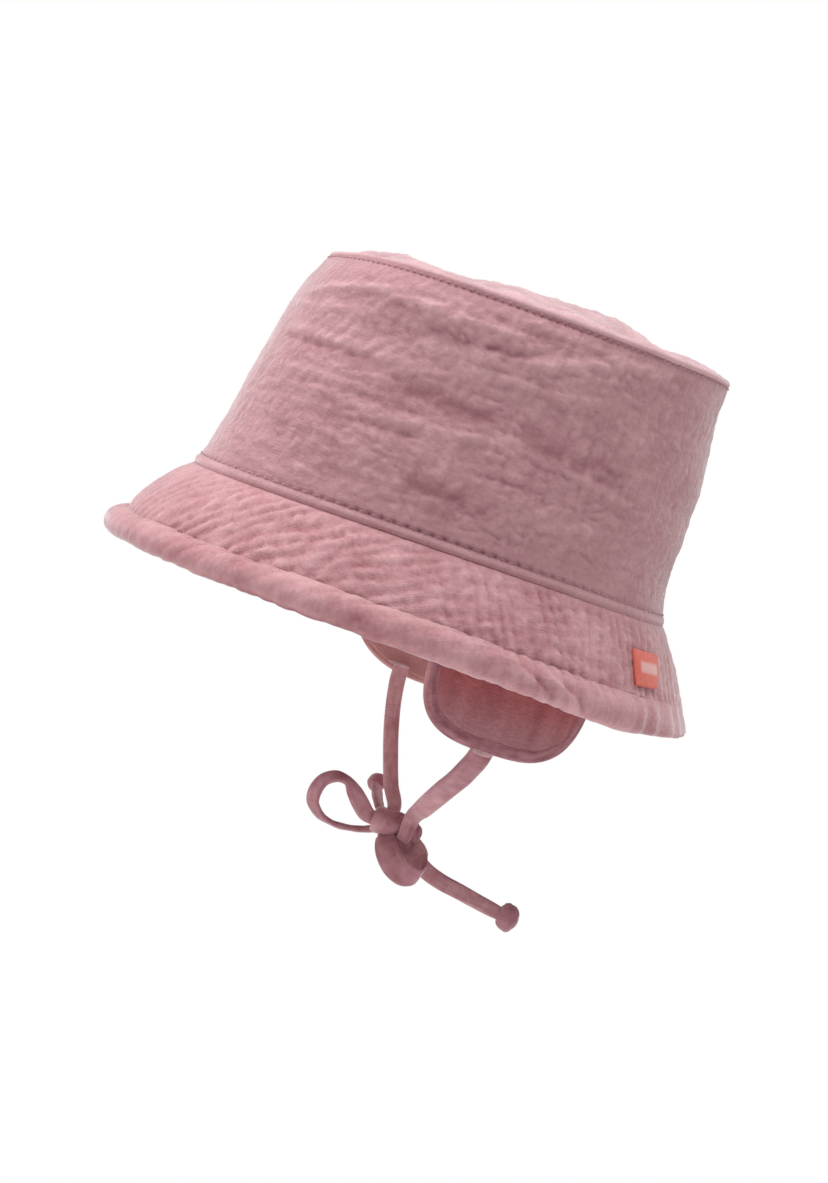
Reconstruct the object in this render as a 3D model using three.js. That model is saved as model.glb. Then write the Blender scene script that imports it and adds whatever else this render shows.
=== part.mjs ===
// A toddler's bucket hat in crinkled double gauze: a puffed tip on a leaning side wall, a
// drooping brim with its edge turned up, two bound ear flaps and two cloth ties in a bow.
// Millimetres, +Z up. The origin is the middle of the seam between crown and brim, where
// the head carries the hat. -Y is the front of the hat and +X is the wearer's left.

import * as THREE from 'three';

const CLOTH = 2;               // thickness of the doubled gauze
const GAP = 0.3;               // clearance between neighbouring pieces
const HEAD_HALF_WIDTH = 72.5;  // half of the base seam, side to side
const HEAD_HALF_LENGTH = 87.3; // half of the base seam, front to back
const SEAM_RISE_SIDE = 2.6;    // how far the base seam rises over the ears
const CROWN_COLUMNS = 72;

const SEAM_HEIGHT = 89;        // top seam above the base seam
const SEAM_DIP_FRONT = 7;      // how far the top seam droops at the forehead
const SEAM_DIP_BACK = 1;       // and at the back
const SEAM_DIP_REACH = 0.55;   // radians from the front over which it droops
const TIP_PUFF = 6.3;          // rise of the tip above its seam

const FLAP_MIDDLE = THREE.MathUtils.degToRad(109.5);  // from the front, at the base seam
const FLAP_SQUARE = 28;        // depth at which the sides start to round in
const FLAP_DEPTH = 58.5;
const FLAP_HEAD = 3;           // how far its top is caught above the base seam
const PANEL = 1.2;             // thickness of the flap's panel
const BINDING_WIDTH = 7;
const BINDING_THICKNESS = 3.8;
const BINDING_FOLD = 1.2;      // cloth at the binding's fold, along the flap's edge
const BINDING_PLAY = 0.45;     // clearance on each side of the panel in the binding

const TAPE_WIDTH = 6.5;        // the ties are flat cloth tubes
const TAPE_THICKNESS = 2.2;
const TAPE_STEP = 5;           // length of one step along a tie

const COLOURS = {
  gauze: 0xb98288,
  underside: 0xb0686a,
  binding: 0x9a6068,
  tape: 0x9c6068,
  label: 0xe8604e,
};

const hat = new THREE.Group();

/** Adds a named piece with its own cloth material. */
function addPiece(name, geometry, color) {
  const material = new THREE.MeshStandardMaterial({ color, roughness: 0.9, metalness: 0 });
  const mesh = new THREE.Mesh(geometry, material);
  mesh.name = name;
  hat.add(mesh);
}

// --- closed bodies from points -------------------------------------------------------

/** One closed body from its corners and triangles, turned so that its faces point out. */
function solid(corners, triangles) {
  const across = new THREE.Vector3();
  let volume = 0;
  for (const [a, b, c] of triangles) {
    volume += corners[a].dot(across.crossVectors(corners[b], corners[c]));
  }
  const outward = volume > 0 ? triangles : triangles.map(([a, b, c]) => [a, c, b]);
  const geometry = new THREE.BufferGeometry();
  const numbers = corners.flatMap((corner) => corner.toArray());
  geometry.setAttribute('position', new THREE.Float32BufferAttribute(numbers, 3));
  geometry.setIndex(outward.flat());
  geometry.computeVertexNormals();
  return geometry;
}

/** The triangles between loops of equal size, the last joined to the first where closed. */
function between(loops, closed) {
  const size = loops[0].length;
  const count = closed ? loops.length : loops.length - 1;
  const triangles = [];
  for (let i = 0; i < count; i += 1) {
    const near = i * size;
    const far = ((i + 1) % loops.length) * size;
    for (let j = 0; j < size; j += 1) {
      const next = (j + 1) % size;
      triangles.push([near + j, near + next, far + next], [near + j, far + next, far + j]);
    }
  }
  return triangles;
}

/** A ring of cloth: closed cross-sections, joined all the way round. */
function ringBody(loops) {
  return solid(loops.flat(), between(loops, true));
}

/** A strip of cloth: cross-sections that run out along one face and back along the other. */
function stripBody(loops) {
  const size = loops[0].length;
  const triangles = between(loops, false);
  for (const start of [0, (loops.length - 1) * size]) {
    for (let j = 0; j < size / 2 - 1; j += 1) {
      const [a, b] = [start + j, start + j + 1];
      const [c, d] = [start + size - 2 - j, start + size - 1 - j];
      const pair = [[a, b, c], [a, c, d]];
      triangles.push(...(start === 0 ? pair.map(([p, q, r]) => [p, r, q]) : pair));
    }
  }
  return solid(loops.flat(), triangles);
}

/** A body of rings between two poles. */
function poleBody(first, rings, last) {
  const size = rings[0].length;
  const corners = [...rings.flat(), first, last];
  const triangles = between(rings, false);
  const end = (rings.length - 1) * size;
  for (let j = 0; j < size; j += 1) {
    const next = (j + 1) % size;
    triangles.push([corners.length - 2, next, j]);
    triangles.push([corners.length - 1, end + j, end + next]);
  }
  return solid(corners, triangles);
}

// --- the plan of the hat -------------------------------------------------------------

/** A point of the base seam, at an angle from the front towards the wearer's left. */
function seamPoint(angle) {
  return new THREE.Vector3(HEAD_HALF_WIDTH * Math.sin(angle), -HEAD_HALF_LENGTH * Math.cos(angle), 0);
}

/** The level direction that points out of the base seam there. */
function outwards(angle) {
  const across = Math.sin(angle) / HEAD_HALF_WIDTH;
  return new THREE.Vector3(across, -Math.cos(angle) / HEAD_HALF_LENGTH, 0).normalize();
}

/** A point at a distance out from the base seam and at a height. */
function fromSeam(angle, out, height) {
  return seamPoint(angle).addScaledVector(outwards(angle), out).setZ(height);
}

/** The angle from the front, from 0 to pi on either side. */
function fromFront(angle) {
  return Math.abs(THREE.MathUtils.euclideanModulo(angle + Math.PI, 2 * Math.PI) - Math.PI);
}

/** A bell-shaped bump, 1 at the middle and near 0 past about twice its reach. */
function bump(distance, reach) {
  return Math.exp(-((distance / reach) ** 2));
}

/** Height of the base seam at an angle. */
function baseSeam(angle) {
  return SEAM_RISE_SIDE * Math.sin(angle) ** 2;
}

/** Height of the top seam at an angle. */
function topSeam(angle) {
  const front = SEAM_DIP_FRONT * bump(fromFront(angle), SEAM_DIP_REACH);
  const back = SEAM_DIP_BACK * bump(Math.PI - fromFront(angle), SEAM_DIP_REACH);
  return SEAM_HEIGHT - front - back;
}

// --- crown: side wall ----------------------------------------------------------------

// The wall's outline at each level, as a share of the height of the top seam.
const WALL = [
  { level: 0.000, halfWidth: 72.5, front: -87.3, back: 87.3 },
  { level: 0.112, halfWidth: 71.3, front: -85.1, back: 84.6 },
  { level: 0.225, halfWidth: 70.2, front: -83.1, back: 83.6 },
  { level: 0.337, halfWidth: 69.2, front: -81.5, back: 84.0 },
  { level: 0.449, halfWidth: 68.2, front: -80.2, back: 83.6 },
  { level: 0.562, halfWidth: 67.2, front: -78.6, back: 83.9 },
  { level: 0.674, halfWidth: 66.3, front: -76.8, back: 82.7 },
  { level: 0.787, halfWidth: 65.3, front: -74.6, back: 81.0 },
  { level: 0.876, halfWidth: 64.3, front: -72.4, back: 80.4 },
  { level: 1.000, halfWidth: 62.5, front: -66.9, back: 80.7 },
];

// The soft folds of the wall. Each lies at an angle and level, reaches some degrees across
// and a share of the wall's height up and down, and stands some millimetres out or in.
const WALL_FOLDS = [
  { angle: 75, level: 0.86, across: 34, up: 0.055, rise: 1.1 },
  { angle: 112, level: 0.80, across: 22, up: 0.050, rise: 0.9 },
  { angle: 96, level: 0.53, across: 26, up: 0.060, rise: -1.2 },
  { angle: 52, level: 0.62, across: 24, up: 0.060, rise: 0.8 },
  { angle: 100, level: 0.38, across: 40, up: 0.055, rise: 0.9 },
  { angle: 128, level: 0.62, across: 18, up: 0.090, rise: -0.9 },
  { angle: 70, level: 0.25, across: 26, up: 0.060, rise: -0.8 },
  { angle: 150, level: 0.30, across: 20, up: 0.080, rise: 0.8 },
  { angle: -70, level: 0.70, across: 30, up: 0.070, rise: 1.0 },
  { angle: -105, level: 0.45, across: 32, up: 0.070, rise: -1.0 },
  { angle: -130, level: 0.22, across: 26, up: 0.060, rise: 0.8 },
  { angle: -20, level: 0.45, across: 28, up: 0.080, rise: -0.8 },
];

/** How far the folds push the wall out at an angle and level. */
function wallFold(angle, level) {
  let out = 0;
  for (const fold of WALL_FOLDS) {
    const away = fromFront(angle - THREE.MathUtils.degToRad(fold.angle));
    const across = bump(THREE.MathUtils.radToDeg(away), fold.across);
    out += fold.rise * across * bump(level - fold.level, fold.up);
  }
  return out;
}

/** A point of the wall on a row of the table, a depth in from its outer face. */
function wallPoint(row, angle, depth) {
  const out = wallFold(angle, row.level) - depth;
  const middle = (row.front + row.back) / 2;
  const halfLength = (row.back - row.front) / 2;
  const across = row.halfWidth * Math.sin(angle);
  const along = middle - halfLength * Math.cos(angle);
  const height = THREE.MathUtils.lerp(baseSeam(angle) + GAP / 2, topSeam(angle) - GAP / 2, row.level);
  return new THREE.Vector3(across, along, height).addScaledVector(outwards(angle), out);
}

function makeCrownSide() {
  const inner = WALL.filter((row, index) => index % 3 === 0).reverse();
  const loops = [];
  for (let i = 0; i < CROWN_COLUMNS; i += 1) {
    const angle = (i / CROWN_COLUMNS) * 2 * Math.PI;
    const outside = WALL.map((row) => wallPoint(row, angle, 0));
    const inside = inner.map((row) => wallPoint(row, angle, CLOTH));
    loops.push([...outside, ...inside]);
  }
  return ringBody(loops);
}

addPiece('crown_side', makeCrownSide(), COLOURS.gauze);

// --- crown: tip ----------------------------------------------------------------------

const TIP_ROW = WALL[WALL.length - 1];
const TIP_MIDDLE = (TIP_ROW.front + TIP_ROW.back) / 2;
const TIP_RINGS_OUTSIDE = [0.985, 0.93, 0.8, 0.6, 0.3];
const TIP_RINGS_INSIDE = [0.3, 0.65];
const TIP_EDGE = 1;            // height of the turned edge over the seam

// The tip's own soft dents and swells: the place of each, its reach and its rise.
const TIP_DENTS = [
  { across: 0, along: -31, wide: 70, long: 15, rise: -3.4 },
  { across: 8, along: 31, wide: 34, long: 11, rise: 1.6 },
  { across: 0, along: 51, wide: 70, long: 10, rise: -3.4 },
  { across: -30, along: 5, wide: 16, long: 20, rise: -1.2 },
];

/** A point of the tip, a share of the way out from its middle and a depth below its face. */
function tipPoint(share, angle, depth) {
  const halfLength = (TIP_ROW.back - TIP_ROW.front) / 2;
  const across = share * TIP_ROW.halfWidth * Math.sin(angle);
  const along = TIP_MIDDLE - share * halfLength * Math.cos(angle);
  const swell = 1 - share ** 4;
  let height = THREE.MathUtils.lerp(topSeam(angle) + TIP_EDGE, SEAM_HEIGHT + TIP_PUFF, swell);
  for (const dent of TIP_DENTS) {
    const near = bump(across - dent.across, dent.wide) * bump(along - dent.along, dent.long);
    height += dent.rise * swell * near;
  }
  return new THREE.Vector3(across, along, height - depth);
}

function makeCrownTop() {
  const angles = Array.from({ length: CROWN_COLUMNS }, (_, i) => (i / CROWN_COLUMNS) * 2 * Math.PI);
  const underside = (angle) => topSeam(angle) + GAP / 2;
  const edge = (depth) => angles.map((angle) => wallPoint(TIP_ROW, angle, depth).setZ(underside(angle)));
  const rings = [
    ...TIP_RINGS_INSIDE.map((share) => angles.map((angle) => tipPoint(share, angle, CLOTH))),
    edge(CLOTH),
    edge(0),
    ...TIP_RINGS_OUTSIDE.map((share) => angles.map((angle) => tipPoint(share, angle, 0))),
  ];
  return poleBody(tipPoint(0, 0, CLOTH), rings, tipPoint(0, 0, 0));
}

addPiece('crown_top', makeCrownTop(), COLOURS.gauze);

// --- brim ----------------------------------------------------------------------------

// The middle of the brim's cloth at five places round the hat. It falls from the seam,
// folds at its foot and comes back up outside itself as the turned-up edge.
const BRIM = [
  {
    angle: 0,
    out: [-1.6, 0.4, 4.9, 10.4, 14.6, 16.2, 16.8, 18.8, 21.4, 22.2, 20.8, 18.3],
    height: [0, -1.9, -5.7, -12.1, -18.2, -23.2, -28.0, -31.4, -30.4, -27.6, -25.0, -23.2],
  },
  {
    angle: 90,
    out: [-1.6, 0.9, 4.7, 9.6, 13.3, 15.6, 16.8, 18.8, 21.6, 22.6, 21.2, 18.0],
    height: [0, -2.2, -6.2, -12.0, -17.7, -23.0, -27.8, -31.0, -30.0, -27.2, -24.2, -22.0],
  },
  {
    angle: 130,
    out: [-1.6, 0.8, 4.4, 8.8, 12.4, 15.0, 17.0, 19.2, 20.8, 20.6, 18.9, 16.6],
    height: [0, -2.2, -6.6, -12.8, -19.0, -24.5, -30.0, -33.4, -32.2, -29.0, -25.6, -23.0],
  },
  {
    angle: 152,
    out: [-1.6, 0.7, 4.1, 8.4, 11.8, 14.4, 16.4, 18.2, 18.9, 17.9, 16.5, 15.3],
    height: [0, -2.1, -6.6, -12.6, -18.0, -22.6, -27.4, -30.2, -29.4, -27.0, -24.6, -22.6],
  },
  {
    angle: 180,
    out: [-1.6, 0.7, 3.9, 7.8, 10.6, 12.4, 14.1, 15.8, 16.9, 16.3, 15.1, 14.2],
    height: [0, -1.9, -6.6, -12.4, -17.4, -21.8, -25.8, -28.4, -27.8, -25.6, -23.4, -21.8],
  },
];
const BRIM_FREE_ROW = 5;       // from this row on the brim no longer follows the seam's rise
const GATHER_START = THREE.MathUtils.degToRad(126);  // the hem is gathered behind this
const GATHERS = 28;            // crests of the gathered hem across the nape
const GATHER_RISE = 0.55;
const GATHER_SETS_IN = 0.3;    // share of the brim's line where they begin
const GATHER_FULL = 0.6;       // and where they are at their full height
const FRONT_COLUMNS = 50;

/** The brim's middle line at an angle, blended between the places of the table. */
function brimLine(angle) {
  const degrees = THREE.MathUtils.radToDeg(fromFront(angle));
  const after = Math.max(1, BRIM.findIndex((place) => place.angle >= degrees - 1e-6));
  const [a, b] = [BRIM[after - 1], BRIM[after]];
  const share = THREE.MathUtils.smoothstep(degrees, a.angle, b.angle);
  return a.out.map((out, i) => {
    const rise = baseSeam(angle) * THREE.MathUtils.smoothstep(BRIM_FREE_ROW - i, 0, BRIM_FREE_ROW);
    const height = THREE.MathUtils.lerp(a.height[i], b.height[i], share);
    return new THREE.Vector2(THREE.MathUtils.lerp(out, b.out[i], share), height + rise - GAP / 2);
  });
}

/** The line moved sideways, level at the seam so that its edge lies flat under the crown. */
function besideLine(line, side) {
  return line.map((point, i) => {
    const from = line[Math.max(0, i - 1)];
    const to = line[Math.min(line.length - 1, i + 1)];
    const along = to.clone().sub(from).normalize();
    const normal = i === 0 ? new THREE.Vector2(1, 0) : new THREE.Vector2(-along.y, along.x);
    return point.clone().addScaledVector(normal, side);
  });
}

/** The gathers' ripple at an angle, 0 in front of them. */
function gather(angle) {
  const back = Math.PI - GATHER_START;
  const from = fromFront(angle) - GATHER_START;
  const fade = THREE.MathUtils.smoothstep(from, 0, back / 4);
  const phase = (angle - GATHER_START) / (2 * back);
  return fade * GATHER_RISE * Math.cos(2 * Math.PI * GATHERS * phase);
}

/** A point of the brim at an angle and a row of its line, on one side of the cloth. */
function brimPoint(angle, row, side) {
  const line = brimLine(angle);
  const place = besideLine(line, side)[row];
  const hem = THREE.MathUtils.smoothstep(row / (line.length - 1), GATHER_SETS_IN, GATHER_FULL);
  return fromSeam(angle, place.x + gather(angle) * hem, place.y);
}

/** Column angles: even round the front, two to each gather at the nape. */
function brimAngles() {
  const back = 2 * (Math.PI - GATHER_START);
  const front = Array.from({ length: FRONT_COLUMNS }, (_, i) => (
    -GATHER_START + (i / FRONT_COLUMNS) * 2 * GATHER_START));
  const nape = Array.from({ length: 2 * GATHERS }, (_, i) => GATHER_START + (i / (2 * GATHERS)) * back);
  return [...front, ...nape];
}

function makeBrim() {
  const rows = BRIM[0].out.map((_, row) => row);
  return ringBody(brimAngles().map((angle) => [
    ...rows.map((row) => brimPoint(angle, row, CLOTH / 2)),
    ...rows.slice().reverse().map((row) => brimPoint(angle, row, -CLOTH / 2)),
  ]));
}

addPiece('brim', makeBrim(), COLOURS.gauze);

// --- label ---------------------------------------------------------------------------

// A folded tab on the brim: the degrees and the rows of the brim's line that it covers.
const LABEL = { from: 132, to: 144.5, rows: [2.5, 3.2, 4.2], columns: 6, thickness: 0.8 };

/** A point over the brim's outer face, between two of its rows. */
function overBrim(angle, row, lift) {
  const low = Math.floor(row);
  const [a, b] = [low, low + 1].map((whole) => brimPoint(angle, whole, CLOTH / 2 + lift));
  return a.lerp(b, row - low);
}

function makeLabel() {
  const loops = [];
  for (let i = 0; i <= LABEL.columns; i += 1) {
    const degrees = THREE.MathUtils.lerp(LABEL.from, LABEL.to, i / LABEL.columns);
    const angle = THREE.MathUtils.degToRad(degrees);
    const outside = LABEL.rows.map((row) => overBrim(angle, row, 2 * GAP + LABEL.thickness));
    const inside = LABEL.rows.slice().reverse().map((row) => overBrim(angle, row, 2 * GAP));
    loops.push([...outside, ...inside]);
  }
  return stripBody(loops);
}

addPiece('label', makeLabel(), COLOURS.label);

// --- ear flaps -----------------------------------------------------------------------

// Each flap leans in towards the chin and back, drawn by its tie, which also lifts it. The
// left one hangs straighter. Its front and back halves have their own width and roundness,
// the exponent of the rounded end.
const FLAPS = [
  {
    side: 'left', turn: 1, leanIn: 3, leanBack: 4.5, lift: 0,
    front: { width: 33.2, roundness: 4.6 }, back: { width: 36.6, roundness: 2.7 },
  },
  {
    side: 'right', turn: -1, leanIn: 12, leanBack: 4, lift: 4.7,
    front: { width: 33, roundness: 2.5 }, back: { width: 34.5, roundness: 3 },
  },
];
const WALL_LEAN = 0.65;        // how far the wall comes in over the flap's head
const FLAP_SEAT = CLOTH + GAP + WALL_LEAN + BINDING_THICKNESS / 2;  // its middle, in from the seam
const FLAP_ARC = 81;           // millimetres of seam to one radian there
const FLAP_SWING = 0.35;       // how far its end rises for each millimetre that it leans in
const FLAP_COLUMNS = 14;
const FLAP_ROWS = 6;

/** The flap's depth at a share of its front or back half, less a margin taken off all round. */
function flapDepth(share, { roundness }, margin) {
  const round = (1 - Math.min(1, share) ** roundness) ** (1 / roundness);
  return FLAP_SQUARE + (FLAP_DEPTH - margin - FLAP_SQUARE) * round;
}

/** A point of a flap: across it, down from the seam, and out from its middle sheet. */
function flapPoint(flap, across, down, out) {
  const share = Math.max(0, down) / FLAP_DEPTH;
  const angle = flap.turn * (FLAP_MIDDLE + across / FLAP_ARC);
  const lean = flap.leanIn * share ** 2;
  const rise = flap.lift * share + FLAP_SWING * lean * share;
  const place = fromSeam(angle, out - FLAP_SEAT - lean, rise - down);
  place.y += flap.leanBack * share;
  return place;
}

function makeFlap(flap) {
  const margin = BINDING_FOLD + 2 * GAP;
  const loops = [];
  for (let i = 0; i <= FLAP_COLUMNS; i += 1) {
    const share = Math.sin(Math.PI * (i / FLAP_COLUMNS - 0.5));
    const half = share < 0 ? flap.front : flap.back;
    const across = share * (half.width - margin);
    const depth = flapDepth(Math.abs(share), half, margin);
    const downs = Array.from({ length: FLAP_ROWS + 1 }, (_, j) => (
      THREE.MathUtils.lerp(-FLAP_HEAD, depth, j / FLAP_ROWS)));
    loops.push([
      ...downs.map((down) => flapPoint(flap, across, down, PANEL / 2)),
      ...downs.reverse().map((down) => flapPoint(flap, across, down, -PANEL / 2)),
    ]);
  }
  return stripBody(loops);
}

/** The flap's edge from the front corner down, round the end and up to the back corner. */
function flapEdge({ front, back }) {
  const sides = [-FLAP_HEAD, FLAP_SQUARE / 3, (2 * FLAP_SQUARE) / 3];
  const round = 18;
  const edge = sides.map((down) => new THREE.Vector2(-front.width, down));
  for (let i = 0; i <= round; i += 1) {
    const turn = Math.PI * (i / round - 0.5);
    const half = turn < 0 ? front : back;
    const share = Math.abs(Math.sin(turn)) ** (2 / half.roundness);
    edge.push(new THREE.Vector2(Math.sign(turn) * share * half.width, flapDepth(share, half, 0)));
  }
  return [...edge, ...sides.reverse().map((down) => new THREE.Vector2(back.width, down))];
}

/** A binding folded round the flap's edge: a channel that the panel's edge stands in. */
function makeBinding(flap) {
  const edge = flapEdge(flap);
  const slot = PANEL / 2 + BINDING_PLAY;
  const face = BINDING_THICKNESS / 2;
  const channel = [
    [BINDING_WIDTH, face], [0, face], [0, -face], [BINDING_WIDTH, -face],
    [BINDING_WIDTH, -slot], [BINDING_FOLD, -slot], [BINDING_FOLD, slot], [BINDING_WIDTH, slot],
  ];
  return stripBody(edge.map((corner, i) => {
    const from = edge[Math.max(0, i - 1)];
    const to = edge[Math.min(edge.length - 1, i + 1)];
    const along = to.clone().sub(from).normalize();
    const inwards = new THREE.Vector2(along.y, -along.x);
    return channel.map(([inset, out]) => {
      const place = corner.clone().addScaledVector(inwards, inset);
      return flapPoint(flap, place.x, place.y, out);
    });
  }));
}

for (const flap of FLAPS) {
  addPiece(`ear_flap_${flap.side}`, makeFlap(flap), COLOURS.underside);
  addPiece(`flap_binding_${flap.side}`, makeBinding(flap), COLOURS.binding);
}

// --- ties and bow --------------------------------------------------------------------

// Each tie runs from inside its flap to the knot, out round its loop, back through the
// knot and on to its free end, which is tied in a small round knot of its own.
const TIES = {
  tie_left: {
    facing: [0.96, 0.28, 0],
    route: [
      [58.3, 27.4, -52.7], [57.8, 27.5, -58], [51.5, 26.4, -66.5], [36, 25.5, -76.8],
      [19.5, 25, -87], [5.4, 24.5, -94.9],
    ],
  },
  tie_right: {
    facing: [0.96, -0.28, 0],
    route: [
      [-51.6, 18.6, -46.1], [-49.8, 18.5, -51.4], [-46.8, 19, -58.5], [-40.5, 19.9, -67.5],
      [-29, 20.3, -76.3], [-15.5, 20.8, -85.3], [-4.2, 21.8, -92.3],
    ],
  },
  bow_loop_front: {
    facing: [0.9, 0.2, 0.2],
    route: [
      [-0.5, 14.6, -97], [0, 12, -96.2], [1, 8.5, -93.5], [2, 4.5, -90], [3, 0.5, -87],
      [3.5, -3.5, -86.7], [2.5, -7, -89], [1, -8.5, -93.5], [-1, -7.5, -98.5],
      [-2, -3.5, -102], [-2.5, 2, -103.5], [-3, 8.5, -103.2], [-3.5, 13.5, -102.2],
    ],
  },
  bow_loop_back: {
    facing: [0.95, 0, 0.25],
    route: [
      [3.5, 20.7, -101.9], [6.8, 21.4, -104.6], [9.4, 23.4, -107.3], [11.4, 26.2, -109.7],
      [12.1, 29.8, -111.2], [10.7, 33.7, -110.8], [7.8, 35.5, -108.7], [4.8, 34.1, -106.3],
      [2.4, 31.9, -103.6],
    ],
  },
  tie_end_long: {
    facing: [0.95, -0.2, 0.1],
    route: [
      [-4.1, 28.5, -99.4], [-6.5, 34.4, -105], [-4, 40.5, -109.2], [-2, 46, -110.9],
      [1, 53, -111.9], [4, 60, -113], [6.6, 67.1, -114],
    ],
  },
  tie_end_short: {
    facing: [0, 0.5, 0.85],
    route: [[-5.8, 18.9, -95.2], [-12, 18.4, -93.4], [-20, 18.7, -91.3], [-28.2, 19.4, -88.9]],
  },
};

const KNOTS = {
  bow_knot: { middle: [0, 23, -97], half: [6.4, 8.6, 5.2] },
  end_knot_long: { middle: [7.8, 71.2, -114.5], half: [4, 4.4, 5.3] },
  end_knot_short: { middle: [-31.8, 19.8, -87.6], half: [3.6, 3.4, 3.4] },
};

/** The ties' section: a flattened cloth tube, turned so that its flat side faces as asked. */
function tapeSection(turn) {
  const [wide, thick] = [TAPE_WIDTH / 2, TAPE_THICKNESS / 2];
  const [face, side] = [0.7 * wide, 0.45 * thick];
  const corners = [
    [thick, face], [side, wide], [-side, wide], [-thick, face],
    [-thick, -face], [-side, -wide], [side, -wide], [thick, -face],
  ];
  const middle = new THREE.Vector2();
  return new THREE.Shape(corners.map(([x, y]) => new THREE.Vector2(x, y).rotateAround(middle, turn)));
}

function makeTape({ route, facing }) {
  const curve = new THREE.CatmullRomCurve3(route.map((point) => new THREE.Vector3(...point)));
  const steps = Math.round(curve.getLength() / TAPE_STEP);
  const frames = curve.computeFrenetFrames(steps, false);
  const wanted = new THREE.Vector3(...facing);
  const turn = Math.atan2(wanted.dot(frames.binormals[0]), wanted.dot(frames.normals[0]));
  return new THREE.ExtrudeGeometry(tapeSection(turn), { steps, extrudePath: curve, curveSegments: 1 });
}

/** A knot's outer form: a rounded body with shallow waists where the cloth crosses. */
function makeKnot({ middle, half }) {
  const centre = new THREE.Vector3(...middle);
  const size = new THREE.Vector3(...half);
  const rings = 7;
  const round = 12;
  const waist = 0.07;
  const at = (fall, turn) => {
    const across = Math.sin(fall) * (1 - waist * (1 + Math.cos(3 * turn)) * Math.sin(fall));
    const unit = new THREE.Vector3(across * Math.cos(turn), across * Math.sin(turn), Math.cos(fall));
    return unit.multiply(size).add(centre);
  };
  const levels = Array.from({ length: rings }, (_, i) => ((i + 1) / (rings + 1)) * Math.PI);
  const turns = Array.from({ length: round }, (_, i) => (i / round) * 2 * Math.PI);
  return poleBody(at(0, 0), levels.map((fall) => turns.map((turn) => at(fall, turn))), at(Math.PI, 0));
}

for (const [name, tape] of Object.entries(TIES)) {
  addPiece(name, makeTape(tape), COLOURS.tape);
}
for (const [name, knot] of Object.entries(KNOTS)) {
  addPiece(name, makeKnot(knot), COLOURS.tape);
}

export default hat;
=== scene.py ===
# A toddler's bucket hat in crinkled cotton double gauze, in the form it has on a head: the
# two ties, the crown, the brim and the ear flaps. Lengths are metres. +Z is up, -Y is the
# front of the hat and +X the wearer's left. The origin is the middle of the base seam.
import math

import bpy
import numpy as np
from mathutils import Matrix, Vector


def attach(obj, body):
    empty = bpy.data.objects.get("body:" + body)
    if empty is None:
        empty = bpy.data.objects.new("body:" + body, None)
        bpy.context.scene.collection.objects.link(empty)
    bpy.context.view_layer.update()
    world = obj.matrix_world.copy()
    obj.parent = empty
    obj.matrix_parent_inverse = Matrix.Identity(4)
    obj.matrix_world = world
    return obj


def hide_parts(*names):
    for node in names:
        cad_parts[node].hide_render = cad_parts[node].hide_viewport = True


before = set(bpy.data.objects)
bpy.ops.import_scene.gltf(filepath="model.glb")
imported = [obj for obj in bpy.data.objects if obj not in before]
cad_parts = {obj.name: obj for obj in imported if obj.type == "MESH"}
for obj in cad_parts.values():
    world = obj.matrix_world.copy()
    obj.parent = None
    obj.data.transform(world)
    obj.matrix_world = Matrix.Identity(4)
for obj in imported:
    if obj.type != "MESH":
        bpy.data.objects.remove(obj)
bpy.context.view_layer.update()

# --- camera, floor and light ---------------------------------------------------------------
# The hat is seen from the wearer's left, a little ahead of square, through a long lens that
# is rolled, so that the hat leans forward in the view. The floor is white card, the room is
# a light tent, and soft lamps stand at the hat's front, over it, behind it and low beside it.

VIEW_AZIMUTH = math.radians(76)  # from straight ahead of the hat, towards the wearer's left
VIEW_DISTANCE = 1.5
VIEW_ROLL = math.radians(20)
VIEW_FIELD = 0.4141  # height of the view at the hat
CAMERA_HEIGHT = 0.055
AIM_SIDEWAYS = 0.0006
AIM_HEIGHT = -0.0169
SENSOR = 36.0  # millimetres, along the view's long side

across_view = Vector((math.cos(VIEW_AZIMUTH), math.sin(VIEW_AZIMUTH), 0))
towards_camera = Vector((math.sin(VIEW_AZIMUTH), -math.cos(VIEW_AZIMUTH), 0))
upwards = Vector((0, 0, 1))


def placed(name, data):
    """A new object with this data, linked into the scene."""
    made = bpy.data.objects.new(name, data)
    bpy.context.collection.objects.link(made)
    return made


camera_data = bpy.data.cameras.new("camera")
camera = placed("camera", camera_data)
aim = across_view * AIM_SIDEWAYS + upwards * AIM_HEIGHT
place = towards_camera * VIEW_DISTANCE + across_view * AIM_SIDEWAYS + upwards * CAMERA_HEIGHT
back = (place - aim).normalized()
right = across_view * math.cos(VIEW_ROLL) + upwards * math.sin(VIEW_ROLL)
up = back.cross(right).normalized()
camera.matrix_world = Matrix.Translation(place) @ Matrix((up.cross(back), up, back)).transposed().to_4x4()
camera_data.sensor_width = SENSOR
camera_data.lens = SENSOR * (place - aim).length / VIEW_FIELD
bpy.context.scene.camera = camera


def linear(hex_colour):
    """The linear RGBA of an sRGB hex value."""
    parts = [((hex_colour >> shift) & 255) / 255 for shift in (16, 8, 0)]
    return [p / 12.92 if p <= 0.04045 else ((p + 0.055) / 1.055) ** 2.4 for p in parts] + [1.0]


def node(tree, kind, inputs, **settings):
    """Adds a shader node with its settings. Each input is a value, a socket that is linked into
    it, or a node, which stands for its first output."""
    made = tree.nodes.new("ShaderNode" + kind)
    for name, value in settings.items():
        setattr(made, name, value)
    for socket, value in inputs.items():
        if isinstance(value, bpy.types.Node):
            value = value.outputs[0]
        if isinstance(value, bpy.types.NodeSocket):
            tree.links.new(value, made.inputs[socket])
        else:
            made.inputs[socket].default_value = value
    return made


def bare_material(name):
    """A new material without nodes."""
    made = bpy.data.materials.new(name)
    made.use_nodes = True
    made.node_tree.nodes.clear()
    return made


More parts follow.
